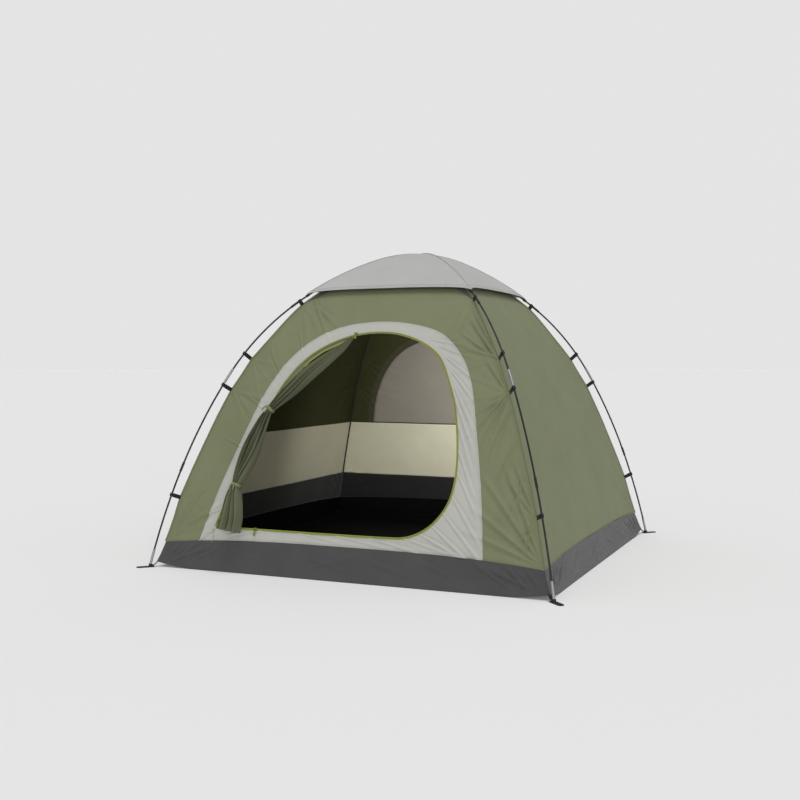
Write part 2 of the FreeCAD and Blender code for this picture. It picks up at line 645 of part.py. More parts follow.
which_leg = {"fr": "a", "bl": "a", "br": "b", "fl": "b"}
CLIPS = [(1, 1600.0), (2, 1189.0), (3, 991.0), (4, 371.5)]
for n, s_mm in CLIPS:
    reach = D["reach_%d" % n]
    for leg in ("fr", "br", "bl", "fl"):
        tag = "c%d%s" % (n, leg)
        ring = cyl(tag + "_ring", 8.8, 16, move(0, 0, -8), Radius="dims.hook_dia / 2", Height="dims.hook_len")
        bore = cyl(tag + "_bore", 5.8, 20, move(0, 0, -10), Radius="dims.hook_bore / 2")
        mouth = box(tag + "_mouth", 11.6, 12, 20, -5.8, -12, -10, Length="dims.hook_bore")
        base = box(tag + "_base", 7.0, 9, 20, -15.0, -4.5, -10, Height="dims.web_width")
        hook = cut(tag + "_hook", fuse(tag + "_hs", [ring, base]), fuse(tag + "_hc", [bore, mouth]))
        strap = box(tag + "_web", reach - 16.5, 1.6, 20, -reach + 1.3, -0.8, -10, Length="dims.reach_%d - 16.5" % n,
                    Width="dims.web_thick", Height="dims.web_width")
        g = group(tag, [hook, strap], leg_frame(LEGS[leg], s_mm, which_leg[leg]))
        node(g, "clip_%s_%s" % (("roof", "upper", "middle", "lower")[n - 1], leg))

hooks = []
for leg in ("fr", "br", "bl", "fl"):
    tag = "caphook_" + leg
    ring = cyl(tag + "_ring", 7.6, 18, move(0, 0, -9), Height="dims.hook_len + 2")
    bore = cyl(tag + "_bore", 5.1, 22, move(0, 0, -11))
    mouth = box(tag + "_mouth", 12, 10.2, 22, -12, -5.1, -11)
    hk = cut(tag + "_hook", ring, fuse(tag + "_hc", [bore, mouth]))
    tab = box(tag + "_tab", 1.6, 9, 19.5, 5.8, -4.5, 4.2)
    hooks.append(group(tag, [hk, tab], leg_frame(LEGS[leg], 1652.0, which_leg[leg])))
node(group("grp_caphooks", hooks), "cap_hooks")


# ---------------------------------------------------------------- zips
def wall_frame(x, z, off, side=0, spin=0.0):
    """frame on a wall's outer face: local z out of the face, local y up the slope"""
    d, ang = wall_point(z, 0.0)
    p = move(x, -d, z) * turn(XAX, 90 - math.degrees(ang)) * move(0, 0, off)
    return turn(ZAX, side) * p * turn(ZAX, spin)


track = wall_body("door_zip_body", Z0, 1300, 0.1 + D["zip_rise"], 0.1, outlines_cut=[face_outline(DOOR, 0.4)],
                  outlines_keep=face_outline(DOOR, 0.4 + D["zip_width"]), mitre=False)
node(track, "door_zip")
wtrack = wall_body("window_zip_body", 590, 1300, 0.1 + D["zip_rise"], 0.1, outlines_cut=[face_outline(WINDOW, 0.6)],
                   outlines_keep=face_outline(WINDOW, 0.6 + D["zip_width"]), mitre=False)
node(rotated(wtrack, 180), "window_zip")

ZIP_C = 0.4 + D["zip_width"] / 2


def slider(tag, place):
    blk = box(tag + "_blk", 18, 16, 7, -9, -8.8, 0.6, Length="dims.slider_len", Width="dims.slider_wide", Height="dims.slider_high - 0.6")
    chan = box(tag + "_chan", 30, 10.6, 3.0, -15, -6.2, 0.0, Width="dims.zip_width + 3.6")
    lug = box(tag + "_lug", 3.0, 4.4, 5.6, -1.5, -2.2, 7.0)
    eye = cyl(tag + "_eye", 1.1, 10, move(-5, 0, 10.2) * turn(YAX, 90))
    b = cut(tag + "_body", fuse(tag + "_sum", [blk, lug]), fuse(tag + "_cuts", [chan, eye]))
    return group(tag, [b], place)


def pull(tag, place):
    # hangs from the lug: a fork with a pin, then a flat tab; local -y is down the slope
    l, w_ = D["pull_len"], D["pull_wide"]
    tab = box(tag + "_tab", w_, l - 8, 2.0, -w_ / 2, -l, -1.0, Length="dims.pull_wide", Height="dims.pull_thick")
    e1 = box(tag + "_e1", 1.8, 11, 2.0, -4.0, -9.2, -1.0)
    e2 = box(tag + "_e2", 1.8, 11, 2.0, 2.2, -9.2, -1.0)
    pin = cyl(tag + "_pin", 1.02, 8.0, move(-4.0, 0, 0) * turn(YAX, 90))
    b = fuse(tag + "_sum", [tab, e1, e2, pin])
    return group(tag, [b], place)


top_deg = -14.0
cx, cz = ARCH["x"], ARCH["z"]
dist0, ang0 = wall_point(cz)
tilt = 90 - math.degrees(ang0)
hub = move(cx, -dist0, cz) * turn(XAX, tilt) * move(0, -ARCH["r"], 0)
print("ARCH_HUB", hub.Base, hub.Rotation.multVec(Vector(0, 0, 1)))
top_place = hub * turn(ZAX, -top_deg) * move(0, ARCH["r"] + ZIP_C, 0.1)
node(slider("slider_top", top_place), "door_slider_upper")
node(pull("pull_top", top_place * move(0, 0, 10.2)), "door_pull_upper")
print("PULL_TOP", (top_place * move(0, 0, 10.2)).Base, top_place.Rotation.multVec(Vector(1, 0, 0)))

low_z = DOOR_BOTTOM - ZIP_C
low_place = wall_frame(-480.0, low_z, 0.1)
node(slider("slider_low", low_place), "door_slider_lower")
node(pull("pull_low", low_place * move(0, 0, 10.2)), "door_pull_lower")
print("PULL_LOW", (low_place * move(0, 0, 10.2)).Base)

# rear window slider sits near the top of its arch
wtop = WIN_TOP
wd, wa = wall_point(wtop)
WR = WIN_R
whub = turn(ZAX, 180) * move(0, -wd, wtop) * turn(XAX, 90 - math.degrees(wa)) * move(0, -WR, 0)
print("WINDOW_HUB", whub.Base, whub.Rotation.multVec(Vector(0, 0, 1)))
wplace = whub * move(0, WR + 0.6 + D["zip_width"] / 2, 0.1)
node(slider("slider_win", wplace), "window_slider")
node(pull("pull_win", wplace * move(0, 0, 10.2)), "window_pull")
print("PULL_WIN", (wplace * move(0, 0, 10.2)).Base)

# ---------------------------------------------------------------- gathered door and its ties
ROLL = [  # x, z, radius, distance of the axis from the wall face
    (-166, 1116, 13, 18.5), (-222, 1078, 22, 28), (-305, 1002, 36, 42), (-396, 892, 42, 48), (-482, 790, 28, 38),
    (-522, 680, 39, 46), (-558, 555, 43, 50), (-604, 415, 29, 39), (-614, 330, 43, 50), (-620, 250, 50, 57)]
circles = []
pts3 = []
for x, z, r, off in ROLL:
    d, ang = wall_point(z)
    pts3.append(Vector(x, -(d + off * math.cos(ang)), z + off * math.sin(ang)))
for i, (x, z, r, off) in enumerate(ROLL):
    a = pts3[max(i - 1, 0)]
    b = pts3[min(i + 1, len(ROLL) - 1)]
    dirv = (b - a).normalize()
    c = doc.addObject("Part::Circle", "roll_ring_%d" % i)
    c.Radius = r
    c.Placement = Placement(pts3[i], Rotation(Vector(0, 0, 1), dirv))
    circles.append(c)
loft = doc.addObject("Part::Loft", "roll_loft")
loft.Sections = circles
loft.Solid = True
loft.Ruled = False
node(loft, "door_roll")

ties = []
for i, r in ((4, 28), (7, 29)):
    a, b = pts3[i - 1], pts3[i + 1]
    dirv = (b - a).normalize()
    rot = Rotation(Vector(0, 0, 1), dirv)
    o = doc.addObject("Part::Torus", "tie_%d" % i)
    o.Radius1, o.Radius2 = r + 3.2, 2.2
    o.Placement = Placement(pts3[i], rot)
    ties.append(o)
node(group("grp_ties", ties), "door_ties")

# loose end of the zip cord below the gathered door
TAIL = [(-716.0, -980.5, 206.0), (-719.0, -984.8, 184.0), (-714.0, -989.5, 163.0), (-717.0, -994.5, 140.0)]
cord_r = []
P = [Vector(*p) for p in TAIL]
runs = [(P[i + 1] - P[i]).Length for i in range(len(P) - 1)]
edges = []
last = P[0]
for i in range(1, len(P) - 1):
    d0, d1 = (P[i] - P[i - 1]).normalize(), (P[i + 1] - P[i]).normalize()
    half = d0.getAngle(d1) / 2
    rad = 0.45 * min(runs[i - 1], runs[i]) / math.tan(half)
    cut_len = 0.45 * min(runs[i - 1], runs[i])
    s_, e_ = P[i] - d0 * cut_len, P[i] + d1 * cut_len
    bis = (d1 - d0).normalize()
    cen = P[i] + bis * (rad / math.cos(half))
    mid = cen - bis * rad
    cord_r.append(rad)
    edges.append(Part.makeLine(last, s_))
    edges.append(Part.Arc(s_, mid, e_).toShape())
    last = e_
edges.append(Part.makeLine(last, P[-1]))
spine = doc.addObject("Part::Feature", "tail_spine")
spine.Shape = Part.Wire(edges)
ringc = doc.addObject("Part::Circle", "tail_ring")
ringc.Placement = Placement(P[0], Rotation(Vector(0, 0, 1), (P[1] - P[0]).normalize()))
bind(ringc, Radius="dims.tail_dia / 2")
sweep = doc.addObject("Part::Sweep", "tail_sweep")
sweep.Sections = [ringc]
sweep.Spine = (spine, ["Edge%d" % (i + 1) for i in range(len(edges))])
sweep.Solid = True
sweep.Frenet = False
node(sweep, "zip_tail")
doc.recompute()
tail_len = spine.Shape.Length
print("zip tail length", tail_len, "bend radii", [round(r, 1) for r in cord_r],
      "volume", sweep.Shape.Volume, "expected", math.pi * (D["tail_dia"] / 2) ** 2 * tail_len)

# ---------------------------------------------------------------- checks and export
doc.recompute()
bad = []
for o in doc.Objects:
    if any(x in ("Invalid", "Error") for x in o.State):
        bad.append((o.Name, o.State))
for o in NODES:
    sh = o.Shape
    if sh.isNull() or not sh.isValid() or sh.Volume <= 0:
        bad.append((o.Label, "shape", sh.isNull(), None if sh.isNull() else sh.Volume))
if bad:
    raise RuntimeError("bad objects: %s" % bad)
total = 0.0
for o in NODES:
    b = o.Shape.BoundBox
    print("%-22s solids %2d vol %12.0f  x %7.1f %7.1f y %7.1f %7.1f z %7.1f %7.1f" % (
        o.Label, len(o.Shape.Solids), o.Shape.Volume, b.XMin, b.XMax, b.YMin, b.YMax, b.ZMin, b.ZMax))
    total += o.Shape.Volume
    o.Shape.exportStep("parts/%s.step" % o.Label)
print("nodes", len(NODES), "total volume", total)
for n, s_mm in CLIPS:
    for w in "ab":
        R, z, ang = pole_at(w, s_mm)
        print("CLIP", n, w, round(R, 2), round(z, 2), round(math.degrees(ang), 3))
for w in "ab":
    R, z, ang = pole_at(w, HALF[w])
    print("APEX", w, R, z, math.degrees(ang), "centre bend", CURVE[w][4]["r"], "half length", HALF[w])
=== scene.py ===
import bpy
import bmesh
import math
import numpy as np
from mathutils import Matrix, Vector


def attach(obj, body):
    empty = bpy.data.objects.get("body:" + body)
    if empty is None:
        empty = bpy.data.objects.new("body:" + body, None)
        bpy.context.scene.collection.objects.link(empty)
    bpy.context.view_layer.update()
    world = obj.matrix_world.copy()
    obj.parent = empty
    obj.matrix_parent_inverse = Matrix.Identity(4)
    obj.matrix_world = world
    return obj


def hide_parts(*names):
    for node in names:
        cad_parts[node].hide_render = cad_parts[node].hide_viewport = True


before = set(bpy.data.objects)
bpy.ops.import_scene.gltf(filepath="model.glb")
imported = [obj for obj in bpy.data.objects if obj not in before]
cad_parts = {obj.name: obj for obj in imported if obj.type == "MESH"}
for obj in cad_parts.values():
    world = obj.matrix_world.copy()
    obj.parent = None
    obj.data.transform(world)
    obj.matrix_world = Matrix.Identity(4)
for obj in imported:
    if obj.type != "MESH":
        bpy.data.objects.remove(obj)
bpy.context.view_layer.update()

rng = np.random.default_rng(11)
MM = 0.001

# ------------------------------------------------------------------ shapes shared with the CAD (mm)
TUB_H, TUB_BASE, TUB_TOP = 150.0, 1023.0, 985.8
WALL_LEAN = 12.1
WALL_ARCS = [(4236.0, 442.0), (3304.0, 427.0), (1992.0, 270.0), (1010.0, 0.0)]
WALL_TOP = 1452.0


def wall_arcs():
    y, z, phi, out = TUB_TOP, TUB_H, math.radians(WALL_LEAN), []
    for r, ln in WALL_ARCS:
        cy, cz = y - r * math.cos(phi), z - r * math.sin(phi)
        phi2 = phi + ln / r if ln else math.asin((WALL_TOP - cz) / r)
        out.append((cy, cz, r, phi, phi2))
        y, z, phi = cy + r * math.cos(phi2), cz + r * math.sin(phi2), phi2
    return out


ARCS = wall_arcs()
_tz, _ty, _ta, _ts = [], [], [], []
_acc = 0.0
for cy, cz, r, a0, a1 in ARCS:
    for t in np.linspace(a0, a1, 60):
        _tz.append(cz + r * math.sin(t)); _ty.append(cy + r * math.cos(t)); _ta.append(t); _ts.append(_acc + (t - a0) * r)
    _acc += (a1 - a0) * r
_tz, _ty, _ta, _ts = map(np.array, (_tz, _ty, _ta, _ts))


def wall_y(z):
    """half width of the wall's outer face at height z; the tub's slope goes on below it"""
    z = np.asarray(z, float)
    up = np.interp(z, _tz, _ty)
    return np.where(z < TUB_H, TUB_BASE + (TUB_TOP - TUB_BASE) * z / TUB_H, up)


def wall_lean(z):
    z = np.asarray(z, float)
    return np.where(z < TUB_H, math.atan((TUB_BASE - TUB_TOP) / TUB_H), np.interp(z, _tz, _ta))


def slope_len(z):
    return np.interp(z, _tz, _ts)


def slope_z(v):
    return np.interp(v, _ts, _tz)


DOOR_BOTTOM = 218.0
AX_, AZ_, AR_ = 15.0, 1186.0, 500.0
ATILT = float(wall_lean(AZ_))


def arch_pt(deg, rr=AR_):
    t = math.radians(deg)
    return (AX_ + rr * math.sin(t), AZ_ - (rr * (1 - math.cos(t)) + (AR_ - rr)) * math.cos(ATILT))


DOOR = [(250, DOOR_BOTTOM), (330, 228), (396, 256), (452, 300), (500, 366), (524, 430), (534, 500), (533, 570), (527, 640),
        (508, 747), (483, 841), (456, 905), (424, 968), (402, 1012), (378, 1047), (352, 1074)] + [arch_pt(38.0 - 4.0 * i) for i in range(20)] + \
       [(-334, 1068), (-374, 1030), (-412, 985), (-450, 925), (-476, 868), (-503, 800), (-530, 720), (-566, 620), (-617, 478),
        (-664, 350), (-706, DOOR_BOTTOM)]
SURROUND = [(-796, 150.0), (-755, 280), (-716, 416), (-674, 538), (-631, 658), (-594, 768), (-556, 876), (-526, 938), (-492, 1000),
            (-455, 1052), (-411, 1100), (-362, 1142), (-306, 1178), (-250, 1205), (-189, 1224), (-126, 1236), (-60, 1243),
            (10, 1246), (80, 1243), (150, 1236), (219, 1224), (286, 1208), (350, 1184), (406, 1148), (456, 1102), (497, 1053),
            (532, 997), (561, 927), (584, 849), (602, 775), (620, 695), (639, 610), (656, 518), (672, 420), (684, 330),
            (694, 240), (702, 150.0)]
WIN_TOP, WIN_R = 1192.0, 866.0
WTILT = float(wall_lean(WIN_TOP))
win_side = [(672, 650.0), (656, 722), (632, 792), (602, 860), (566, 922), (521, 982), (471, 1036), (423, 1076), (370, 1111), (315, 1138)]
WINDOW = win_side + [(WIN_R * math.sin(math.radians(a)), WIN_TOP - WIN_R * (1 - math.cos(math.radians(a))) * math.cos(WTILT))
                     for a in [16.0 - 2.0 * i for i in range(17)]] + [(-x, z) for x, z in win_side[::-1]]


def outline_offset(pts, dist):
    p = np.array(pts, float)
    n = len(p)
    area = np.sum(p[:, 0] * np.roll(p[:, 1], -1) - np.roll(p[:, 0], -1) * p[:, 1])
    sg = 1.0 if area > 0 else -1.0
    d = np.roll(p, -1, 0) - p
    nrm = sg * np.stack([d[:, 1], -d[:, 0]], 1) / np.linalg.norm(d, axis=1)[:, None]
    m = nrm + np.roll(nrm, 1, 0)
    k = 2.0 * dist / np.maximum((m * m).sum(1), 0.5)
    return p + m * k[:, None]


def face_offset(pts, dist):
    q = outline_offset([(x, float(slope_len(z))) for x, z in pts], dist)
    return np.stack([q[:, 0], slope_z(q[:, 1])], 1)


def smooth_closed(pts, corners, step=8.0, rounds=2):
    """corner-cut the polyline, keeping the listed corner indices sharp; step is not used"""
    p = [np.array(q, float) for q in pts]
    keep = set(corners)
    for _ in range(rounds):
        q, newkeep = [], set()
        n = len(p)
        for i in range(n):
            a, b = p[i], p[(i + 1) % n]
            if i in keep:
                newkeep.add(len(q)); q.append(a)
            else:
                q.append(a * 0.75 + b * 0.25)
            if (i + 1) % n not in keep:
                q.append(a * 0.25 + b * 0.75)
        p, keep = q, newkeep
    return np.array(p), sorted(keep)


# poles (mm): same arcs as the CAD
SEC = 522.0
POLES = {"a": (14.31, [3617.6, 2933.4, 1388.8, 1634.1]), "b": (14.426, [3699.3, 2902.4, 1393.6, 1769.0])}
FOOT_R, FOOT_Z = 1485.0, 8.0


def pole_at(w, s_mm):
    lean, rs = POLES[w]
    r0, z0, phi = FOOT_R, FOOT_Z, math.radians(lean)
    for i, r in enumerate(rs):
        c = (r0 - r * math.cos(phi), z0 - r * math.sin(phi))
        if s_mm <= (i + 1) * SEC:
            a = phi + (s_mm - i * SEC) / r
            return c[0] + r * math.cos(a), c[1] + r * math.sin(a), a
        phi += SEC / r
        r0, z0 = c[0] + r * math.cos(phi), c[1] + r * math.sin(phi)
    r = r0 / math.cos(phi)
    a = phi + (s_mm - 4 * SEC) / r
    return r * math.cos(a), z0 - r * math.sin(phi) + r * math.sin(a), a


LEGS = {"fr": (-45.0, "a"), "br": (45.0, "b"), "bl": (135.0, "a"), "fl": (225.0, "b")}
CLIPS = {"roof": (1600.0, 26.9), "upper": (1189.0, 51.5), "middle": (991.0, 53.5), "lower": (371.5, 49.6)}


def on_diag(psi, R, z):
    p = math.radians(psi)
    return Vector((R * math.cos(p), R * math.sin(p), z)) * MM


# heights of the four clip stitches on the seam
SEAM_Z = []
for s_mm, reach in CLIPS.values():
    R, z, a = pole_at("a", s_mm)
    SEAM_Z.append(z - reach * math.sin(a))
SEAM_Z = np.array(sorted(SEAM_Z))          # lower, middle, upper, roof


# ------------------------------------------------------------------ materials
def new_mat(name):
    m = bpy.data.materials.new(name)
    m.use_nodes = True
    nt = m.node_tree
    return m, nt, nt.nodes["Principled BSDF"]


def lin(c):
    return tuple((x / 12.92) if x <= 0.04045 else ((x + 0.055) / 1.055) ** 2.4 for x in [v / 255.0 for v in c])


def cloth_mat(name, rgb, rough=0.72, weave=900.0, bump=0.25, vary=0.10, sheen=0.15, spec=0.35, rip=False, wear=None):
    """woven, coated cloth: fine two-way weave in the bump, soft cloudy change of tone; the rip argument is not used"""
    m, nt, bs = new_mat(name)
    N, Lk = nt.nodes, nt.links
    tc = N.new("ShaderNodeTexCoord")
    col = lin(rgb)
    cloud = N.new("ShaderNodeTexNoise")
    cloud.inputs["Scale"].default_value = 5.0
    cloud.inputs["Detail"].default_value = 6.0
    cloud.inputs["Roughness"].default_value = 0.6
    Lk.new(tc.outputs["Object"], cloud.inputs["Vector"])
    ramp = N.new("ShaderNodeMapRange")
    ramp.inputs["From Min"].default_value = 0.3
    ramp.inputs["From Max"].default_value = 0.7
    ramp.inputs["To Min"].default_value = 1.0 - vary
    ramp.inputs["To Max"].default_value = 1.0 + vary
    Lk.new(cloud.outputs["Fac"], ramp.inputs["Value"])
    fine = N.new("ShaderNodeTexNoise")
    fine.inputs["Scale"].default_value = 420.0
    fine.inputs["Detail"].default_value = 2.0
    Lk.new(tc.outputs["Object"], fine.inputs["Vector"])
    fr = N.new("ShaderNodeMapRange")
    fr.inputs["To Min"].default_value = 0.93
    fr.inputs["To Max"].default_value = 1.07
    Lk.new(fine.outputs["Fac"], fr.inputs["Value"])
    mul = N.new("ShaderNodeMath"); mul.operation = "MULTIPLY"
    Lk.new(ramp.outputs["Result"], mul.inputs[0]); Lk.new(fr.outputs["Result"], mul.inputs[1])
    mix = N.new("ShaderNodeVectorMath"); mix.operation = "SCALE"
    mix.inputs[0].default_value = col
    Lk.new(mul.outputs[0], mix.inputs["Scale"])
    Lk.new(mix.outputs["Vector"], bs.inputs["Base Color"])
    w1 = N.new("ShaderNodeTexWave"); w1.wave_type = "BANDS"; w1.bands_direction = "Z"
    w1.inputs["Scale"].default_value = weave
    w1.inputs["Distortion"].default_value = 0.4
    Lk.new(tc.outputs["Object"], w1.inputs["Vector"])
    w2 = N.new("ShaderNodeTexWave"); w2.wave_type = "BANDS"; w2.bands_direction = "DIAGONAL"
    w2.inputs["Scale"].default_value = weave * 0.7
    w2.inputs["Distortion"].default_value = 0.4
    Lk.new(tc.outputs["Object"], w2.inputs["Vector"])
    add = N.new("ShaderNodeMath"); add.operation = "ADD"
    Lk.new(w1.outputs["Fac"], add.inputs[0]); Lk.new(w2.outputs["Fac"], add.inputs[1])
    b1 = N.new("ShaderNodeBump"); b1.inputs["Strength"].default_value = bump
    b1.inputs["Distance"].default_value = 0.0004
    Lk.new(add.outputs[0], b1.inputs["Height"])
    soft = N.new("ShaderNodeTexNoise")
    soft.inputs["Scale"].default_value = 26.0
    soft.inputs["Detail"].default_value = 5.0
    Lk.new(tc.outputs["Object"], soft.inputs["Vector"])
    b2 = N.new("ShaderNodeBump"); b2.inputs["Strength"].default_value = 0.25
    b2.inputs["Distance"].default_value = 0.003
    Lk.new(soft.outputs["Fac"], b2.inputs["Height"]); Lk.new(b1.outputs["Normal"], b2.inputs["Normal"])
    Lk.new(b2.outputs["Normal"], bs.inputs["Normal"])
    bs.inputs["Roughness"].default_value = rough
    bs.inputs["Sheen Weight"].default_value = sheen
    bs.inputs["Sheen Roughness"].default_value = 0.5
    bs.inputs["Specular IOR Level"].default_value = spec
    return m


def hard_mat(name, rgb, rough, metal=0.0, spec=0.5, scratch=0.04, scale=180.0, coat=0.0):
    m, nt, bs = new_mat(name)
    N, Lk = nt.nodes, nt.links
    tc = N.new("ShaderNodeTexCoord")
    nz = N.new("ShaderNodeTexNoise")
    nz.inputs["Scale"].default_value = scale
    nz.inputs["Detail"].default_value = 4.0
    Lk.new(tc.outputs["Object"], nz.inputs["Vector"])
    mr = N.new("ShaderNodeMapRange")
    mr.inputs["To Min"].default_value = max(0.02, rough - 0.12)
    mr.inputs["To Max"].default_value = min(1.0, rough + 0.12)
    Lk.new(nz.outputs["Fac"], mr.inputs["Value"])
    Lk.new(mr.outputs["Result"], bs.inputs["Roughness"])
    cm = N.new("ShaderNodeMapRange")
    cm.inputs["To Min"].default_value = 1.0 - scratch * 2
    cm.inputs["To Max"].default_value = 1.0 + scratch * 2
    Lk.new(nz.outputs["Fac"], cm.inputs["Value"])
    sc = N.new("ShaderNodeVectorMath"); sc.operation = "SCALE"
    sc.inputs[0].default_value = lin(rgb)
    Lk.new(cm.outputs["Result"], sc.inputs["Scale"])
    Lk.new(sc.outputs["Vector"], bs.inputs["Base Color"])
    b = N.new("ShaderNodeBump"); b.inputs["Strength"].default_value = scratch * 3
    b.inputs["Distance"].default_value = 0.0005
    Lk.new(nz.outputs["Fac"], b.inputs["Height"]); Lk.new(b.outputs["Normal"], bs.inputs["Normal"])
    bs.inputs["Metallic"].default_value = metal
    bs.inputs["Specular IOR Level"].default_value = spec
    bs.inputs["Coat Weight"].default_value = coat
    return m


M = {
    "green": cloth_mat("sage_cloth", (124, 130, 98), vary=0.05, sheen=0.04),
    "green_in": cloth_mat("sage_cloth_inside", (62, 62, 36), rough=0.8, vary=0.06, sheen=0.0, spec=0.15),
    "grey_light": cloth_mat("light_grey_cloth", (188, 188, 181), vary=0.04),
    "cap": cloth_mat("cap_cloth", (184, 185, 182), vary=0.04),
    "tub": cloth_mat("tub_cloth", (74, 74, 74), rough=0.6, weave=520.0, bump=0.5),
    "tub_in": cloth_mat("tub_cloth_inside", (12, 12, 13), rough=0.75, weave=520.0, bump=0.4, spec=0.06, sheen=0.0),
    "band_dark": cloth_mat("dark_band_cloth", (34, 34, 34), rough=0.55),
    "band_pale": cloth_mat("pale_band_cloth", (206, 202, 176), vary=0.05),
    "window": cloth_mat("window_cloth", (138, 132, 120), vary=0.05),
    "border": cloth_mat("dark_border_cloth", (62, 62, 44)),
    "patch": cloth_mat("patch_cloth", (92, 92, 88)),
    "lime": cloth_mat("lime_tape", (158, 164, 62), rough=0.65, weave=1400.0, bump=0.5, vary=0.08),
    "lime_deep": cloth_mat("lime_coil", (120, 128, 60), rough=0.6, weave=1400.0, bump=0.5, vary=0.08),
    "dark_tape": cloth_mat("dark_tape", (34, 34, 28), rough=0.7, weave=1400.0, bump=0.5),
    "door": cloth_mat("door_cloth", (116, 120, 94), vary=0.07, rough=0.6, sheen=0.03),
    "web": cloth_mat("black_webbing", (24, 24, 25), rough=0.75, weave=700.0, bump=0.9),
    "thread": cloth_mat("thread", (110, 114, 84), rough=0.8),
    "thread_grey": cloth_mat("thread_grey", (150, 150, 145), rough=0.8),
    "mesh": cloth_mat("roof_mesh_cloth", (30, 31, 28), rough=0.9, weave=260.0, bump=1.0),
    "elastic": cloth_mat("elastic_cord_cover", (215, 215, 212), rough=0.8, weave=1500.0),
    "pole": hard_mat("glass_fibre_black", (22, 22, 24), 0.36, spec=0.5),
    "silver": hard_mat("brushed_silver", (168, 170, 174), 0.42, metal=1.0, scratch=0.03, scale=320.0),
    "black_metal": hard_mat("black_coated_metal", (20, 20, 22), 0.4, metal=0.0),
    "plastic": hard_mat("black_plastic", (16, 16, 17), 0.5, scratch=0.05),
    "slider": hard_mat("slider_lime_enamel", (132, 138, 60), 0.42, metal=0.3),
    "slider_dark": hard_mat("slider_dark_metal", (50, 50, 46), 0.42, metal=0.6),
}


# ------------------------------------------------------------------ mesh helpers (input in mm)
def make(name, verts, faces, mat, smooth=True, mats=None, face_mat=None):
    me = bpy.data.meshes.new(name)
    me.from_pydata((np.asarray(verts, float) * MM).tolist(), [], [tuple(int(i) for i in f) for f in faces])
    me.materials.append(mat)
    for extra in (mats or []):
        me.materials.append(extra)
    if face_mat is not None:
        me.polygons.foreach_set("material_index", np.asarray(face_mat, np.int32))
    me.update()
    if smooth:
        me.polygons.foreach_set("use_smooth", [True] * len(me.polygons))
    ob = bpy.data.objects.new(name, me)
    bpy.context.scene.collection.objects.link(ob)
    return ob


def grid_faces(nu, nv, closed_u=False):
    """vertices in order v * nu + u"""
    u = np.arange(nu if closed_u else nu - 1)
    v = np.arange(nv - 1)
    U, V = np.meshgrid(u, v)
    U2 = (U + 1) % nu
    return np.stack([V * nu + U, V * nu + U2, (V + 1) * nu + U2, (V + 1) * nu + U], -1).reshape(-1, 4)


def thicken(ob, mm_thick, inner=None, offset=-1.0):
    """gives the sheet its thickness as real geometry"""
    md = ob.modifiers.new("thick", "SOLIDIFY")
    md.thickness = mm_thick * MM
    md.offset = offset
    md.use_even_offset = False
    if inner is not None:
        ob.data.materials.append(inner)
        md.material_offset = len(ob.data.materials) - 1
    dg = bpy.context.evaluated_depsgraph_get()
    me = bpy.data.meshes.new_from_object(ob.evaluated_get(dg))
    ob.modifiers.clear()
    old = ob.data
    ob.data = me
    bpy.data.meshes.remove(old)
    me.name = ob.name
    return ob


def flip(ob):
    bm = bmesh.new(); bm.from_mesh(ob.data)
    bmesh.ops.reverse_faces(bm, faces=bm.faces)
    bm.to_mesh(ob.data); bm.free()
    return ob


def tube(name, pts, radius, mat, n=8, closed=False, flat=1.0, up=None, caps=True):
    """tube along a polyline (mm); flat < 1 squeezes it along 'up'"""
    P = np.asarray(pts, float)
    m = len(P)
    if closed:
        T = np.roll(P, -1, 0) - np.roll(P, 1, 0)
    else:
        T = np.gradient(P, axis=0)
    T /= np.maximum(np.linalg.norm(T, axis=1), 1e-9)[:, None]
    if up is None:
        ref = np.array([0.0, 0.0, 1.0]) if abs(T[0][2]) < 0.9 else np.array([1.0, 0, 0])
        A = np.zeros_like(P)
        a = np.cross(T[0], ref); a /= np.linalg.norm(a)
        for i in range(m):
            a = a - T[i] * (a @ T[i]); a /= np.linalg.norm(a)
            A[i] = a
        B = np.cross(T, A)
    else:
        Bu = np.broadcast_to(np.asarray(up, float), P.shape).copy()
        Bu -= T * (Bu * T).sum(1)[:, None]
        B = Bu / np.maximum(np.linalg.norm(Bu, axis=1), 1e-9)[:, None]
        A = np.cross(B, T)
    rad = np.broadcast_to(np.asarray(radius, float), (m,))
    th = np.linspace(0, 2 * np.pi, n, endpoint=False)
    V = P[:, None] + rad[:, None, None] * (np.cos(th)[None, :, None] * A[:, None] + flat * np.sin(th)[None, :, None] * B[:, None])
    V = V.reshape(-1, 3)
    F = []
    rows = m if closed else m - 1
    for i in range(rows):
        i2 = (i + 1) % m
        for j in range(n):
            j2 = (j + 1) % n
            F.append((i * n + j, i * n + j2, i2 * n + j2, i2 * n + j))
    if not closed and caps:
        F.append(tuple(range(n))[::-1])
        F.append(tuple((m - 1) * n + j for j in range(n)))
    ob = make(name, V, F, mat)
    bm = bmesh.new(); bm.from_mesh(ob.data)
    bmesh.ops.recalc_face_normals(bm, faces=bm.faces)
    bm.to_mesh(ob.data); bm.free()
    return ob


def join(name, obs):
    """one mesh from several, each keeping its material"""
    mats, V, F, FM, base = [], [], [], [], 0
    for o in obs:
        co = np.array([v.co for v in o.data.vertices], float).reshape(-1, 3)
        w = np.array(o.matrix_world, float)
        V.append(co @ w[:3, :3].T + w[:3, 3])
        idx = []
        for m in o.data.materials:
            if m not in mats:
                mats.append(m)
            idx.append(mats.index(m))
        for p in o.data.polygons:
            F.append([base + v for v in p.vertices]); FM.append(idx[p.material_index] if idx else 0)
        base += len(co)
        bpy.data.objects.remove(o)
    V = np.concatenate(V) / MM
    ob = make(name, V, F, mats[0], mats=mats[1:], face_mat=FM)
    return ob


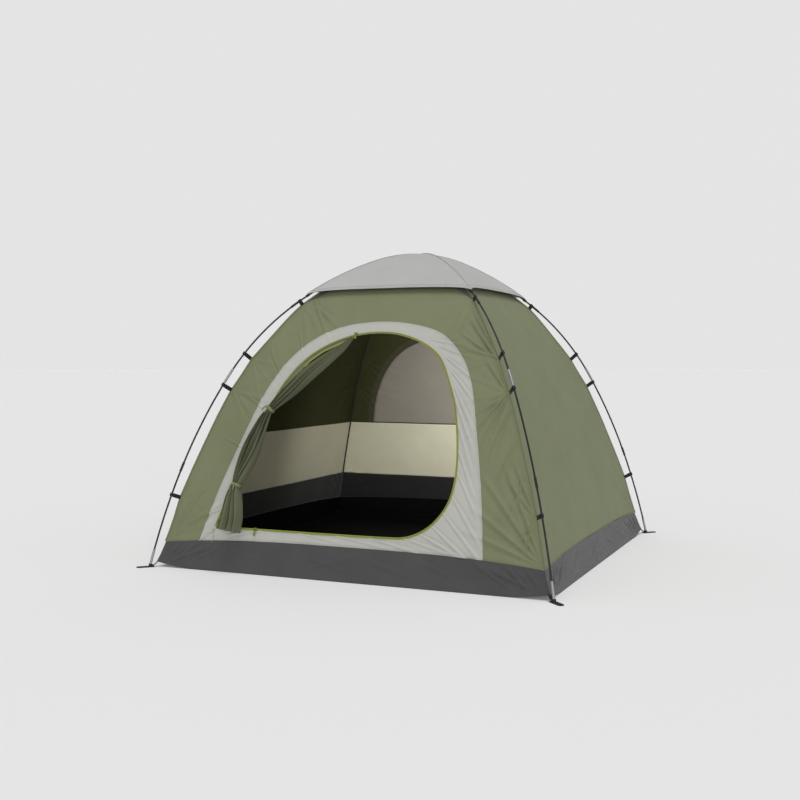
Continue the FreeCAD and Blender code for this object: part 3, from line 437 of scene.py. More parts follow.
def rot_z(P, deg):
    a = math.radians(deg)
    c, s = math.cos(a), math.sin(a)
    P = np.asarray(P, float)
    return np.stack([P[..., 0] * c - P[..., 1] * s, P[..., 0] * s + P[..., 1] * c, P[..., 2]], -1)


# ------------------------------------------------------------------ the shape of the stretched cloth
def seam_pull(z):
    """how far the corner seam stands in from the straight line between two clips (mm)"""
    z = np.asarray(z, float)
    knots = np.concatenate([[20.0], SEAM_Z, [1452.0]])
    depth = np.array([4.0, 7.0, 3.0, 9.0, 2.0])
    out = np.zeros_like(z)
    for k in range(len(knots) - 1):
        t = np.clip((z - knots[k]) / (knots[k + 1] - knots[k]), 0, 1)
        inside = (z >= knots[k]) & (z < knots[k + 1])
        out = np.where(inside, -depth[k] * np.sin(np.pi * t), out)
    return out + 11.0 * np.clip((260.0 - z) / 240.0, 0, 1) ** 1.5


class Noise:
    """seeded smooth noise on a plane"""

    def __init__(self, seed, n=24):
        g = np.random.default_rng(seed)
        self.k = g.normal(size=(n, 2)); self.k /= np.linalg.norm(self.k, axis=1)[:, None]
        self.k *= g.uniform(0.6, 1.6, size=(n, 1))
        self.p = g.uniform(0, 2 * np.pi, n)
        self.n = n

    def __call__(self, x, z, scale):
        x, z = np.asarray(x, float) / scale, np.asarray(z, float) / scale
        s = 0.0
        for (kx, kz), p in zip(self.k, self.p):
            s = s + np.sin(kx * x + kz * z + p)
        return s / math.sqrt(self.n)


def crease(x, z, x0, z0, ang, length, amp, width, spread=0.0, power=0.6):
    """a fold that starts at (x0, z0) and runs out along ang (degrees, 0 = +x, 90 = up), fading away"""
    a = math.radians(ang)
    dx, dz = x - x0, z - z0
    u = dx * math.cos(a) + dz * math.sin(a)
    v = -dx * math.sin(a) + dz * math.cos(a)
    t = np.clip(u / length, 0, 1)
    w = width * (0.35 + spread * t + 0.65 * t ** 0.7)
    prof = np.exp(-(v / w) ** 2) - 0.55 * np.exp(-((v - 2.0 * w) / (1.2 * w)) ** 2) - 0.3 * np.exp(-((v + 2.0 * w) / (1.2 * w)) ** 2)
    fade = np.where(u > 0, t ** 0.35 * (1 - t) ** power * (u < length), 0.0)
    return amp * prof * fade


FOLDS = {"front": [], "right": [], "back": [], "left": []}


def fan(side, right, zc, angs, length, amp, width, jitter):
    """folds spreading from a clip on the seam; right is +1 for the +x edge of that wall"""
    g = np.random.default_rng(jitter)
    xc = float(wall_y(zc)) * right
    for a in angs:
        aa = a + g.uniform(-3, 3)
        ang = 180 - aa if right > 0 else aa
        FOLDS[side].append((xc, zc, ang, length * g.uniform(0.7, 1.15), amp * g.uniform(0.7, 1.2), width * g.uniform(0.8, 1.2)))


seed = 3
for side in FOLDS:
    for right in (1, -1):
        for i, zc in enumerate(SEAM_Z):
            strong = 1.0 if i in (1, 2) else 0.6
            fan(side, right, float(zc), (-62, -38, -12, 22, 48), 330 * strong, 3.4 * strong, 15, seed); seed += 1
        fan(side, right, 160.0, (14, 32, 52, 70), 420, 4.2, 20, seed); seed += 1
        fan(side, right, 1352.0, (-70, -48, -25), 300, 3.0, 16, seed); seed += 1
# the strong folds beside the front-right leg and on the front's lower right corner
def seam_fold(z, ang, ln, amp, wd, inset=6.0, right=1):
    FOLDS["front"].append((right * (float(wall_y(z)) - inset), z, ang if right > 0 else 180 - ang, ln, amp * 1.35, wd * 0.72))


zl, zm, zu, zr = (float(v) for v in SEAM_Z)
for z_, ang, ln, amp, wd in ((zu, 131, 260, 11, 13), (zu, 148, 250, 9, 12), (zu, 116, 290, 11, 11), (zu + 8, 164, 190, 6, 12),
                             (zu + 90, 128, 220, 9, 12), (zu + 150, 120, 220, 8, 11), (zm, 114, 160, 11, 10), (zm, 130, 200, 8, 12),
                             (zm, 248, 240, 11, 12), (zm, 230, 270, 10, 13), (zm - 4, 212, 230, 8, 13), (zm - 60, 252, 260, 8, 12),
                             (zl, 116, 260, 8, 12), (zl, 132, 220, 6, 13), (zl, 252, 200, 8, 13), (zl, 234, 180, 6, 12),
                             (150, 116, 480, 9, 18), (146, 130, 520, 9, 20), (140, 146, 440, 8, 18), (136, 160, 420, 6, 16),
                             (620, 108, 300, 6, 14), (560, 256, 260, 6, 13), (700, 250, 220, 7, 12)):
    seam_fold(z_, ang, ln, amp, wd)
for z_, ang, ln, amp, wd in ((zu, 130, 200, 5, 13), (zm, 235, 220, 5, 13), (zl, 120, 220, 4, 13), (146, 124, 420, 6, 19), (140, 146, 360, 5, 17), (1380, 232, 320, 6, 14), (1370, 215, 300, 5, 14)):
    seam_fold(z_, ang, ln, amp, wd, right=-1)
# the pale surround: short folds running off the zip
for x0, z0, ang, ln, amp, wd in ((300, 1150, -10, 210, 5.5, 9), (352, 1116, -18, 210, 6, 8), (404, 1060, -33, 200, 6.5, 8), (440, 1000, -46, 220, 6, 8),
                                 (470, 925, -58, 240, 5.5, 8), (492, 850, -62, 250, 5.5, 9), (512, 760, -66, 250, 5, 9), (530, 640, -64, 240, 5, 9),
                                 (536, 540, -60, 260, 5, 9), (520, 430, -54, 320, 5.5, 10), (490, 345, -46, 330, 6, 10), (440, 285, -38, 320, 6, 10),
                                 (380, 246, -24, 320, 6, 10), (300, 222, -14, 320, 4.5, 9), (120, 214, -12, 300, 4, 8), (-60, 214, -9, 320, 4, 8),
                                 (-260, 212, -8, 260, 3.5, 8), (-420, 212, 188, 280, 4, 8), (-560, 214, 194, 220, 4.5, 8),
                                 (-470, 960, 128, 200, 4, 8), (-380, 1070, 116, 150, 4, 8), (-540, 800, 150, 150, 3.5, 8), (-600, 600, 160, 150, 3.5, 8),
                                 (-700, 216, 217, 150, 7.0, 4.5), (-690, 300, 200, 120, 4, 7)):
    FOLDS["front"].append((x0, z0, ang, ln, amp * 1.5, wd * 0.85))
NOISE = {"front": Noise(5), "right": Noise(6), "back": Noise(7), "left": Noise(8)}


def relief(side, x, z):
    """how far the cloth stands out of the plain wall (mm)"""
    x, z = np.asarray(x, float), np.asarray(z, float)
    a = wall_y(z)
    q = np.clip(np.abs(x) / a, 0, 1)
    d = -7.0 * (1 - q ** 2) * np.clip((z - 120) / 250, 0, 1) * np.clip((1452 - z) / 250, 0, 1)
    for f in FOLDS[side]:
        d = d + crease(x, z, *f)
    n = NOISE[side]
    d = d + 0.9 * n(x, z, 95.0) + 0.55 * n(z * 0.8, x * 1.2, 38.0)
    d = d * (1 - q ** 44)
    return d


def wall_point(side, x, z, off=0.0):
    """points on a wall in that wall's own frame (wall on -Y), moved out by off"""
    x, z = np.asarray(x, float), np.asarray(z, float)
    a = wall_y(z)
    e = seam_pull(z)
    q = np.clip(np.abs(x) / a, 0, 1)
    pull = e * q ** 5
    lean = wall_lean(z)
    d = relief(side, x, z) + off
    X = x * (1 + pull / a)
    return np.stack([X + 0 * d, -(a + pull) - d * np.cos(lean), z + d * np.sin(lean)], -1)


def tub_top(x, side):
    mid = {"front": 160.0, "right": 150.0, "back": 148.0, "left": 148.0}[side]
    return mid - (mid - 124.0) * (np.abs(np.asarray(x, float)) / 986.0) ** 3


SIDE_DEG = {"front": 0.0, "right": 90.0, "back": 180.0, "left": 270.0}


def polar_hits(cx, cz, ang, poly):
    """distance from the centre to the outline along each angle"""
    P = np.asarray(poly, float)
    Q = np.roll(P, -1, 0)
    out = np.full(len(ang), np.nan)
    D = np.stack([np.cos(ang), np.sin(ang)], 1)
    E = Q - P
    for i in range(len(P)):
        px, pz = P[i, 0] - cx, P[i, 1] - cz
        den = D[:, 0] * E[i, 1] - D[:, 1] * E[i, 0]
        with np.errstate(divide="ignore", invalid="ignore"):
            t = (px * E[i, 1] - pz * E[i, 0]) / den
            s = (px * D[:, 1] - pz * D[:, 0]) / den
        ok = (np.abs(den) > 1e-12) & (s >= -1e-6) & (s <= 1 + 1e-6) & (t > 0)
        out = np.where(ok & (np.isnan(out) | (t > out)), t, out)
    return out


def wall_boundary(side):
    """outline of a whole wall, counter-clockwise, in (x, z)"""
    zs = np.linspace(float(tub_top(986.0, side)), WALL_TOP, 160)
    right = [(float(wall_y(z)), float(z)) for z in zs]
    xs = np.linspace(float(wall_y(WALL_TOP)), -float(wall_y(WALL_TOP)), 30)[1:-1]
    top = [(float(x), WALL_TOP) for x in xs]
    left = [(-float(wall_y(z)), float(z)) for z in zs[::-1]]
    xb = np.linspace(-float(wall_y(zs[0])), float(wall_y(zs[0])), 160)[1:-1]
    bottom = [(float(x), float(tub_top(x, side))) for x in xb]
    return right + top + left + bottom


def ring_panel(name, side, inner, outer, centre, rows, mat, n=900, span=None, off_in=0.0, off_out=0.0, inside=None, thick=0.9, extra=()):
    """a panel between two outlines around a centre, laid on the wall"""
    cx, cz = centre
    if span is None:
        ang = np.linspace(-np.pi, np.pi, n, endpoint=False)
    else:
        ang = np.linspace(span[0], span[1], n)
    more = [math.atan2(p[1] - cz, p[0] - cx) for p in extra]
    ang = np.unique(np.concatenate([ang, np.array(more)])) if more else ang
    ri, ro = polar_hits(cx, cz, ang, inner), polar_hits(cx, cz, ang, outer)
    ok = ~(np.isnan(ri) | np.isnan(ro))
    ang, ri, ro = ang[ok], ri[ok], ro[ok]
    ro = np.maximum(ro, ri)
    t = np.linspace(0, 1, rows)[:, None]
    r = ri[None] * (1 - t) + ro[None] * t
    X, Z = cx + r * np.cos(ang)[None], cz + r * np.sin(ang)[None]
    off = off_in * (1 - t) + off_out * t + 0 * X
    P = wall_point(side, X, Z, off)
    P = rot_z(P, SIDE_DEG[side]).reshape(-1, 3)
    ob = make(name, P, grid_faces(len(ang), rows, closed_u=span is None), mat)
    return thicken(ob, thick, inner=inside, offset=-1.0) if thick else ob


def grid_panel(name, side, z0, z1, nu, nv, mat, off=0.0, inside=None, thick=0.9, shrink=0.0):
    """a full-width panel; z0 may follow the top of the tub"""
    u = np.linspace(-1, 1, nu)[None]
    t = np.linspace(0, 1, nv)[:, None]
    zl = z0(u) if callable(z0) else z0 + 0 * u
    zh = z1(u) if callable(z1) else z1 + 0 * u
    Z = zl * (1 - t) + zh * t
    X = u * (wall_y(Z) - shrink)
    P = wall_point(side, X, Z, off + 0 * Z)
    P = rot_z(P, SIDE_DEG[side]).reshape(-1, 3)
    ob = make(name, P, grid_faces(nu, nv), mat)
    return thicken(ob, thick, inner=inside, offset=-1.0) if thick else ob


def outside_up(ob, outward=True):
    """makes the sheet's main side face away from the tent's axis"""
    me = ob.data
    c = np.array([p.center for p in me.polygons]); n = np.array([p.normal for p in me.polygons])
    s = (c * n)[:, :2].sum()
    if (s < 0) == outward:
        flip(ob)
    return ob


def sheet_panel(fn, *a, **k):
    th, ins = k.pop("thick", 0.9), k.pop("inside", None)
    ob = fn(*a, thick=0, **k)
    outside_up(ob)
    return thicken(ob, th, inner=ins, offset=-1.0)


SEG = 1.0
TENT = "tent"
made = []


def put(ob, slot, *nodes, body=TENT):
    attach(ob, body)
    if nodes:
        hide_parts(*nodes)
    made.append(ob)
    return ob


# ------------------------------------------------------------------ walls
DOOR_S, _ = smooth_closed(DOOR, [len(DOOR) - 1], rounds=2)
SURR_OPEN = np.array(SURROUND, float)


def smooth_open(p, rounds=2):
    for _ in range(rounds):
        q = [p[0]]
        for a, b in zip(p[:-1], p[1:]):
            q += [a * 0.75 + b * 0.25, a * 0.25 + b * 0.75]
        q.append(p[-1])
        p = np.array(q)
    return p


surr = smooth_open(SURR_OPEN)
surr[0, 1] = surr[-1, 1] = 150.0
sb = np.linspace(702, -796, 120)
surr_closed = np.concatenate([surr, np.stack([sb, tub_top(sb, "front")], 1)])
CEN = (-70.0, 600.0)
front_edge = wall_boundary("front")
door_surround = sheet_panel(ring_panel, "door_surround_cloth", "front", DOOR_S, surr_closed, CEN, int(40 * SEG) + 4, M["grey_light"],
                            n=int(1700 * SEG), inside=M["grey_light"], extra=[DOOR[-1], (702, float(tub_top(702, "front"))), (-796, float(tub_top(-796, "front")))])
put(door_surround, "fabric_grey_light", "door_surround")
a_r = math.atan2(float(tub_top(702, "front")) - CEN[1], 702 - CEN[0])
a_l = math.atan2(float(tub_top(-796, "front")) - CEN[1], -796 - CEN[0]) + 2 * math.pi
wall_front = sheet_panel(ring_panel, "wall_front_cloth", "front", surr_closed, front_edge, CEN, int(84 * SEG) + 4, M["green"], n=int(1700 * SEG),
                         span=(a_r, a_l), inside=M["green_in"],
                         extra=[])
put(wall_front, "fabric_green", "wall_front")
for side in ("right", "left"):
    ob = sheet_panel(grid_panel, "wall_%s_cloth" % side, side, (lambda s: (lambda u: tub_top(u * 986, s)))(side), WALL_TOP,
                     int(320 * SEG), int(250 * SEG), M["green"], inside=M["green_in"])
    put(ob, "fabric_green", "wall_" + side)
win_s, _ = smooth_closed(WINDOW, [0, len(WINDOW) - 1], rounds=2)
border_out = outline_offset(WINDOW, 36.0)
border_out[0, 1] = border_out[-1, 1] = 600.0
bord_s, _ = smooth_closed(border_out, [0, len(border_out) - 1], rounds=2)
WCEN = (0.0, 850.0)
put(sheet_panel(ring_panel, "wall_back_cloth", "back", bord_s, wall_boundary("back"), WCEN, int(34 * SEG) + 4, M["green"], n=int(1000 * SEG),
                inside=M["green_in"], extra=[(985, 126), (-985, 126), (355, 1452), (-355, 1452)]), "fabric_green", "wall_back")
put(sheet_panel(ring_panel, "window_border_cloth", "back", win_s, bord_s, WCEN, 8, M["border"], n=int(900 * SEG), inside=M["border"],
                off_in=0.6, off_out=0.2, extra=[(672, 650), (-672, 650)]), "fabric_grey_dark", "window_border")
tiny = [(WCEN[0] + 0.3 * math.cos(a), WCEN[1] + 0.3 * math.sin(a)) for a in np.linspace(0, 2 * math.pi, 40, endpoint=False)]
put(sheet_panel(ring_panel, "window_panel_cloth", "back", tiny, win_s, WCEN, int(30 * SEG) + 4, M["window"], n=int(600 * SEG), inside=M["window"],
                extra=[(672, 650), (-672, 650)]), "fabric_window", "window_panel")

# inner bands
dark, pale, seams = [], [], []
for side in ("right", "back", "left"):
    dark.append(sheet_panel(grid_panel, "bd_" + side, side, (lambda s: (lambda u: tub_top(u * 986, s) + 2))(side), 300.0, int(160 * SEG),
                            int(20 * SEG), M["band_dark"], off=-5.0, thick=0.8, shrink=7.0))
    pale.append(sheet_panel(grid_panel, "bp_" + side, side, 299.0, 648.0, int(160 * SEG), int(40 * SEG), M["band_pale"], off=-5.0, thick=0.8, shrink=7.0))
put(join("inner_band_dark_cloth", dark), "fabric_band_dark", "inner_band_dark")
put(join("inner_band_pale_cloth", pale), "fabric_band_pale", "inner_band_pale")


# ------------------------------------------------------------------ bathtub floor: one sheet, outer wall, bottom edge and floor
def tub_ring(n):
    """perimeter samples: side number and x along it"""
    out = []
    for i in range(4):
        for x in np.linspace(-1, 1, n, endpoint=False):
            out.append((i, x))
    return out


def tub_mesh():
    n = int(320 * SEG)
    names = ["front", "right", "back", "left"]
    per = tub_ring(n)
    noise = Noise(21)
    rows = []
    W = int(28 * SEG) + 4
    for k in range(W):
        t = k / (W - 1)
        row = []
        for i, u in per:
            side = names[i]
            zt = float(tub_top(u * 986, side)) + 1.0
            zb = 1.2 + 25.0 * max(0.0, (abs(u) - 0.80) / 0.20) ** 1.6
            z = zt * (1 - t) + zb * t
            hw = float(wall_y(z))
            lift = max(0.0, (abs(u) - 0.80) / 0.20)
            pull = float(seam_pull(z))
            x = u * (hw + pull * abs(u) ** 9)
            hw = hw + pull * abs(u) ** 9
            d = 0.0
            # soft upright and slanting buckles, stronger by the corners
            d += 2.2 * math.sin(math.pi * t) * noise(x + i * 3000, z * 1.6, 85.0)
            for s_, xc, ang in ((1, 930, 138), (1, 850, 150), (1, 985, 128), (-1, -930, 42), (-1, -840, 30), (-1, -985, 52), (1, 975, 160), (-1, -975, 20),
                               (1, 640, 158), (-1, -600, 24), (1, 420, 164), (-1, -240, 18), (1, 120, 166)):
                k_ = 1.0 if abs(xc) > 800 else 0.5
                d += k_ * float(crease(np.array(x), np.array(z), xc, 26.0, ang, 330.0, 9.0, 11.0)) * math.sin(math.pi * min(1, t * 1.1))
            d += -3.0 * math.sin(math.pi * t)
            row.append(((x, -hw - d, z), SIDE_DEG[side]))
        rows.append(row)
    zb_row = [(r[0], r[1]) for r in rows[-1]]
    P = []
    for row in rows:
        pts = np.array([r[0] for r in row]); deg = np.array([r[1] for r in row])
        for (x, y, z), dg in zip(pts, deg):
            c, s = math.cos(math.radians(dg)), math.sin(math.radians(dg))
            P.append((x * c - y * s, x * s + y * c, z))
    N = len(per)
    edge = np.array(P[-N:])
    ins = int(18 * SEG) + 4
    nz2 = Noise(22)
    for k in range(1, ins):
        f = 1 - (k / ins) ** 0.8
        q = edge.copy()
        q[:, :2] *= f
        low = 1.4 + 0.0 * q[:, 0]
        drop = max(0.0, 1 - k / 6.0) ** 2
        q[:, 2] = low + (edge[:, 2] - 1.2) * drop + np.abs(1.2 * nz2(q[:, 0], q[:, 1], 110.0)) * min(1, k / 5)
        P.extend(q.tolist())
    P.append((0, 0, 1.6))
    F = grid_faces(N, W + ins - 1, closed_u=True).tolist()
    last = (W + ins - 2) * N
    for j in range(N):
        F.append((last + j, last + (j + 1) % N, len(P) - 1))
    return P, F


P, F = tub_mesh()
tub = make("tub_floor_cloth", P, F, M["tub"])
outside_up(tub)
tub = thicken(tub, 1.0, inner=M["tub_in"], offset=-1.0)
put(tub, "fabric_tub", "tub_floor")


# ------------------------------------------------------------------ roof cap: one curved sheet, four gores
_ca, _cz = [], []
half_b = None
for s_mm in np.linspace(1400, 2350.6, 260):
    R, z, a = pole_at("b", s_mm)
    _ca.append((R + 10.9 * math.cos(a)) / math.sqrt(2)); _cz.append(z + 10.9 * math.sin(a))
_ca, _cz = np.array(_ca)[::-1], np.array(_cz)[::-1]


def cap_z(a):
    return np.interp(a, _ca, _cz)


CAP_C, CAP_M = 446.0, 414.0
capn = Noise(31)


def cap_pt(s, t, q, off=0.0):
    """s from the top (0) to the hem (1), t across the gore, q the gore's number"""
    ear = 15.0 * np.abs(t) ** 10 * np.clip(s, 0, 1) ** 6
    lip = 20.0 * (1 - t * t) * np.clip(s, 0, 1) ** 3
    X, Y = CAP_C * t * s + np.sign(t) * ear, -(CAP_M + (CAP_C - CAP_M) * t * t) * s - ear - lip
    z = cap_z(np.abs(Y))
    tt = np.abs(t)
    # cloth between two poles pulls a little flat; a faint groove beside each pole seam
    sink = -3.2 * s * (1 - tt ** 2) - 1.3 * np.exp(-((1 - tt) * CAP_C * s / 11.0) ** 2) * (s > 0.02) * (tt < 0.995)
    wr = 0.8 * capn(X + 900 * q, Y * 1.3, 60.0) * s * (1 - tt ** 6)
    for xc, ang, ln, am in ((0.97, 158, 260, 2.6), (0.97, 140, 300, 2.0), (0.97, 172, 200, 1.8), (-0.97, 22, 260, 2.6), (-0.97, 40, 300, 2.0), (-0.97, 8, 200, 1.8)):
        wr = wr + crease(X, Y + CAP_C * 0.97, xc * CAP_C, 0.0, ang, ln, am, 11.0) * (1 - tt ** 10)
    z = z + sink + wr * 0.8 + off
    P = np.stack([X, Y, z], -1)
    return rot_z(P, 90.0 * q)


def cap_mesh():
    ns, nt = int(90 * SEG) + 8, int(80 * SEG) + 9
    obs_v, F, base = [], [], 0
    S, Tt = np.meshgrid(np.linspace(0.0, 1.0, ns), np.linspace(-1, 1, nt), indexing="ij")
    for q in range(4):
        V = cap_pt(S, Tt, q).reshape(-1, 3)
        obs_v.append(V)
        F.append(grid_faces(nt, ns) + base)
        base += len(V)
    ob = make("roof_cap_cloth", np.concatenate(obs_v), np.concatenate(F), M["cap"])
    bm = bmesh.new(); bm.from_mesh(ob.data)
    bmesh.ops.remove_doubles(bm, verts=bm.verts, dist=0.0002)
    bmesh.ops.dissolve_degenerate(bm, edges=bm.edges, dist=1e-6)
    bmesh.ops.recalc_face_normals(bm, faces=bm.faces)
    if sum(f.normal.z for f in bm.faces) < 0:
        bmesh.ops.reverse_faces(bm, faces=bm.faces)
    bm.to_mesh(ob.data); bm.free()
    ob.data.polygons.foreach_set("use_smooth", [True] * len(ob.data.polygons))
    return thicken(ob, 0.9, offset=-1.0)


cap = cap_mesh()
put(cap, "fabric_grey_cap", "roof_cap", body="cap")
# turned hem round the cap and a raised seam over each pole
hem_obs = []
for q in range(4):
    ts = np.linspace(-1, 1, int(120 * SEG))
    outer = cap_pt(np.full_like(ts, 1.0), ts, q, 0.5)
    inner = cap_pt(np.full_like(ts, 0.966), ts, q, 0.5)
    o2 = cap_pt(np.full_like(ts, 1.0), ts, q, -1.8)
    V = np.concatenate([inner, outer, o2])
    hb = make("hem%d" % q, V, grid_faces(len(ts), 3), M["cap"])
    hem_obs.append(thicken(hb, 0.7, offset=0.0))
    ss = np.linspace(0.03, 0.985, int(90 * SEG))
    seam_c = cap_pt(ss, np.full_like(ss, 1.0), q, 0.5)
    hem_obs.append(tube("capseam%d" % q, seam_c, 2.6, M["cap"], n=8, flat=0.5, up=(0, 0, 1)))
hem = join("roof_cap_hem", hem_obs)
put(hem, "fabric_grey_cap", body="cap")


# ------------------------------------------------------------------ seams, piping, stitches
def path_on_wall(side, xz, off):
    xz = np.asarray(xz, float)
    return rot_z(wall_point(side, xz[:, 0], xz[:, 1], off), SIDE_DEG[side])


def resample(p, step, closed=False):
    p = np.asarray(p, float)
    if closed:
        p = np.concatenate([p, p[:1]])
    d = np.concatenate([[0], np.cumsum(np.linalg.norm(np.diff(p, axis=0), axis=1))])
    n = max(2, int(round(d[-1] / step)) + 1)
    t = np.linspace(0, d[-1], n)
    q = np.stack([np.interp(t, d, p[:, k]) for k in range(p.shape[1])], 1)
    return q[:-1] if closed else q


def stitches(name, pts, mat, ups, length=3.4, gap=2.6, rad=0.45):
    """short thread dashes along a path (mm)"""
    p = resample(pts, length + gap)
    u = np.asarray(ups, float)
    V, F = [], []
    th = np.linspace(0, 2 * np.pi, 5, endpoint=False)
    for i in range(len(p) - 1):
        a = p[i]
        d = p[i + 1] - a
        L_ = np.linalg.norm(d)
        if L_ < 1e-6:
            continue
        d /= L_
        upv = u if u.ndim == 1 else u[min(i * len(u) // len(p), len(u) - 1)]
        s = np.cross(d, upv); s /= max(np.linalg.norm(s), 1e-9)
        w = np.cross(s, d)
        b = len(V)
        for f, rr in ((0.0, 0.35), (0.5, 1.0), (1.0, 0.35)):
            c = a + d * length * f + w * rad * 0.4 * rr
            for t in th:
                V.append(c + rad * rr * (math.cos(t) * s + math.sin(t) * w))
        for k in range(2):
            for j in range(5):
                F.append((b + k * 5 + j, b + k * 5 + (j + 1) % 5, b + (k + 1) * 5 + (j + 1) % 5, b + (k + 1) * 5 + j))
        F.append((b + 4, b + 3, b + 2, b + 1, b)); F.append((b + 10, b + 11, b + 12, b + 13, b + 14))
    return make(name, V, F, mat)


# welt along each corner, outside: the seam allowance of the two walls
welts, pipes = [], []
for i, psi in enumerate((-45.0, 45.0, 135.0, 225.0)):
    zs = np.linspace(126.0, WALL_TOP, int(160 * SEG))
    w = (wall_y(zs) + seam_pull(zs)) * math.sqrt(2)
    lean = np.arctan(np.tan(wall_lean(zs)) * math.sqrt(2))
    g = Noise(50 + i)
    wob = 1.3 * g(zs, zs * 0, 30.0)
    n_ = len(zs)
    ridge = []
    for off, side_off in ((-1.5, 0.9), (7.0, 0.7), (7.0, -0.7), (-1.5, -0.9)):
        R = w + off * np.cos(lean)
        Z = zs + off * np.sin(lean)
        lat = side_off + wob * (1.0 if off > 0 else 0.15)
        pr = math.radians(psi)
        ridge.append(np.stack([R * math.cos(pr) - lat * math.sin(pr), R * math.sin(pr) + lat * math.cos(pr), Z], 1))
    V = np.stack(ridge, 1).reshape(-1, 3)
    F = []
    for k in range(n_ - 1):
        for j in range(4):
            F.append((k * 4 + j, k * 4 + (j + 1) % 4, (k + 1) * 4 + (j + 1) % 4, (k + 1) * 4 + j))
    F.append((0, 1, 2, 3)); F.append(tuple((n_ - 1) * 4 + j for j in (3, 2, 1, 0)))
    wb = make("welt%d" % i, V, F, M["green"], smooth=False)
    bm = bmesh.new(); bm.from_mesh(wb.data); bmesh.ops.recalc_face_normals(bm, faces=bm.faces); bm.to_mesh(wb.data); bm.free()
    welts.append(wb)
    zi = np.linspace(160.0, 1448.0, int(140 * SEG))
    Ri = (wall_y(zi) + seam_pull(zi)) * math.sqrt(2) - 13.0
    pr = math.radians(psi)
    pipes.append(tube("pipe%d" % i, np.stack([Ri * math.cos(pr), Ri * math.sin(pr), zi], 1), 4.2, M["dark_tape"], n=8))
put(join("corner_welts", welts), "fabric_green")
for side in ("right", "back", "left"):
    for zz, rr in ((300.0, 2.0), (648.5, 3.4)):
        xs = np.linspace(-1, 1, 120) * (float(wall_y(zz)) - 9)
        pipes.append(tube("pipe_%s_%d" % (side, zz), path_on_wall(side, np.stack([xs, np.full_like(xs, zz)], 1), -6.6), rr, M["dark_tape"], n=8, flat=0.6,
                          up=(0, 0, 1)))
put(join("inner_seam_tape", pipes), "zip_dark")

st = []
up_front = (0.0, -0.9, 0.4)
sp = resample(surr, 6.0)
st.append(stitches("s1", path_on_wall("front", outline_offset(surr, -4.0)[3:-3], 0.6), M["thread_grey"], up_front))
st.append(stitches("s2", path_on_wall("front", outline_offset(surr, -8.0)[4:-4], 0.6), M["thread_grey"], up_front))
for side in ("front", "right", "back", "left"):
    a = math.radians(SIDE_DEG[side])
    upv = (math.sin(a) * 0.97, -math.cos(a) * 0.97, 0.2)
    xs = np.linspace(-970, 970, 300)
    zt = tub_top(xs, side)
    st.append(stitches("t_" + side, path_on_wall(side, np.stack([xs, zt + 5.0], 1), 0.5), M["thread"], upv))
    st.append(stitches("t2_" + side, path_on_wall(side, np.stack([xs, zt + 9.0], 1), 0.5), M["thread"], upv))
put(join("wall_stitching", st), "fabric_green")
st = []
for q in range(4):
    ts = np.linspace(-0.98, 0.98, 200)
    for sv in (0.972, 0.990):
        st.append(stitches("c%d" % q, cap_pt(np.full_like(ts, sv), ts, q, 1.0), M["thread_grey"], (0, 0, 1.0)))
    for lat in (0.985,):
        ss = np.linspace(0.06, 0.96, 200)
        for sg in (1, -1):
            st.append(stitches("d%d" % q, cap_pt(ss, sg * (1 - 5.5 / (CAP_C * ss)), q, 0.5), M["thread_grey"], (0, 0, 1.0)))
put(join("cap_stitching", st), "fabric_grey_cap", body="cap")

# ------------------------------------------------------------------ door zip: tape and coil
def zip_line(name, outline, side, corner, tape_mat, coil_mat, width, off=1.7):
    pts = resample(np.asarray(outline, float), 9.0, closed=True)
    c = face_offset(pts.tolist(), width * 0.55)
    up = rot_z(np.stack([0 * c[:, 0], -np.cos(wall_lean(c[:, 1])), np.sin(wall_lean(c[:, 1]))], 1), SIDE_DEG[side])
    P3 = path_on_wall(side, c, off)
    t = tube(name + "_tape", P3, width * 0.55, tape_mat, n=10, closed=True, flat=0.16, up=up)
    k = tube(name + "_coil", path_on_wall(side, c, off + 0.9), width * 0.2, coil_mat, n=8, closed=True, flat=0.9, up=up)
    return join(name, [t, k])


put(zip_line("door_zip_line", DOOR_S, "front", None, M["lime"], M["lime_deep"], 9.0), "zip_lime", "door_zip")
put(zip_line("window_zip_line", win_s, "back", None, M["dark_tape"], M["dark_tape"], 7.6), "zip_dark", "window_zip")

# corner reinforcement under the cap
pt_obs = []
for i in range(4):
    for sg in (1, -1):
        tri = np.array([(sg * (float(wall_y(1352)) - 1), 1352.0), (sg * (float(wall_y(1424)) - 1), 1424.0), (sg * 335.0, 1419.0)])
        nn = 14
        V, F, idx = [], [], {}
        for a in range(nn + 1):
            for b in range(nn + 1 - a):
                c = nn - a - b
                p = (tri[0] * a + tri[1] * b + tri[2] * c) / nn
                idx[(a, b)] = len(V); V.append(p)
        V = np.array(V)
        for a in range(nn):
            for b in range(nn - a):
                F.append((idx[(a, b)], idx[(a + 1, b)], idx[(a, b + 1)]))
                if a + b < nn - 1:
                    F.append((idx[(a + 1, b)], idx[(a + 1, b + 1)], idx[(a, b + 1)]))
        side = ("front", "right", "back", "left")[i]
        P3 = rot_z(wall_point(side, V[:, 0], V[:, 1], 1.2), SIDE_DEG[side])
        tb = make("patch%d%d" % (i, sg), P3, F, M["patch"])
        outside_up(tb)
        pt_obs.append(thicken(tb, 0.8, offset=-1.0))
put(join("corner_patch_cloth", pt_obs), "fabric_grey_dark", "corner_patches")

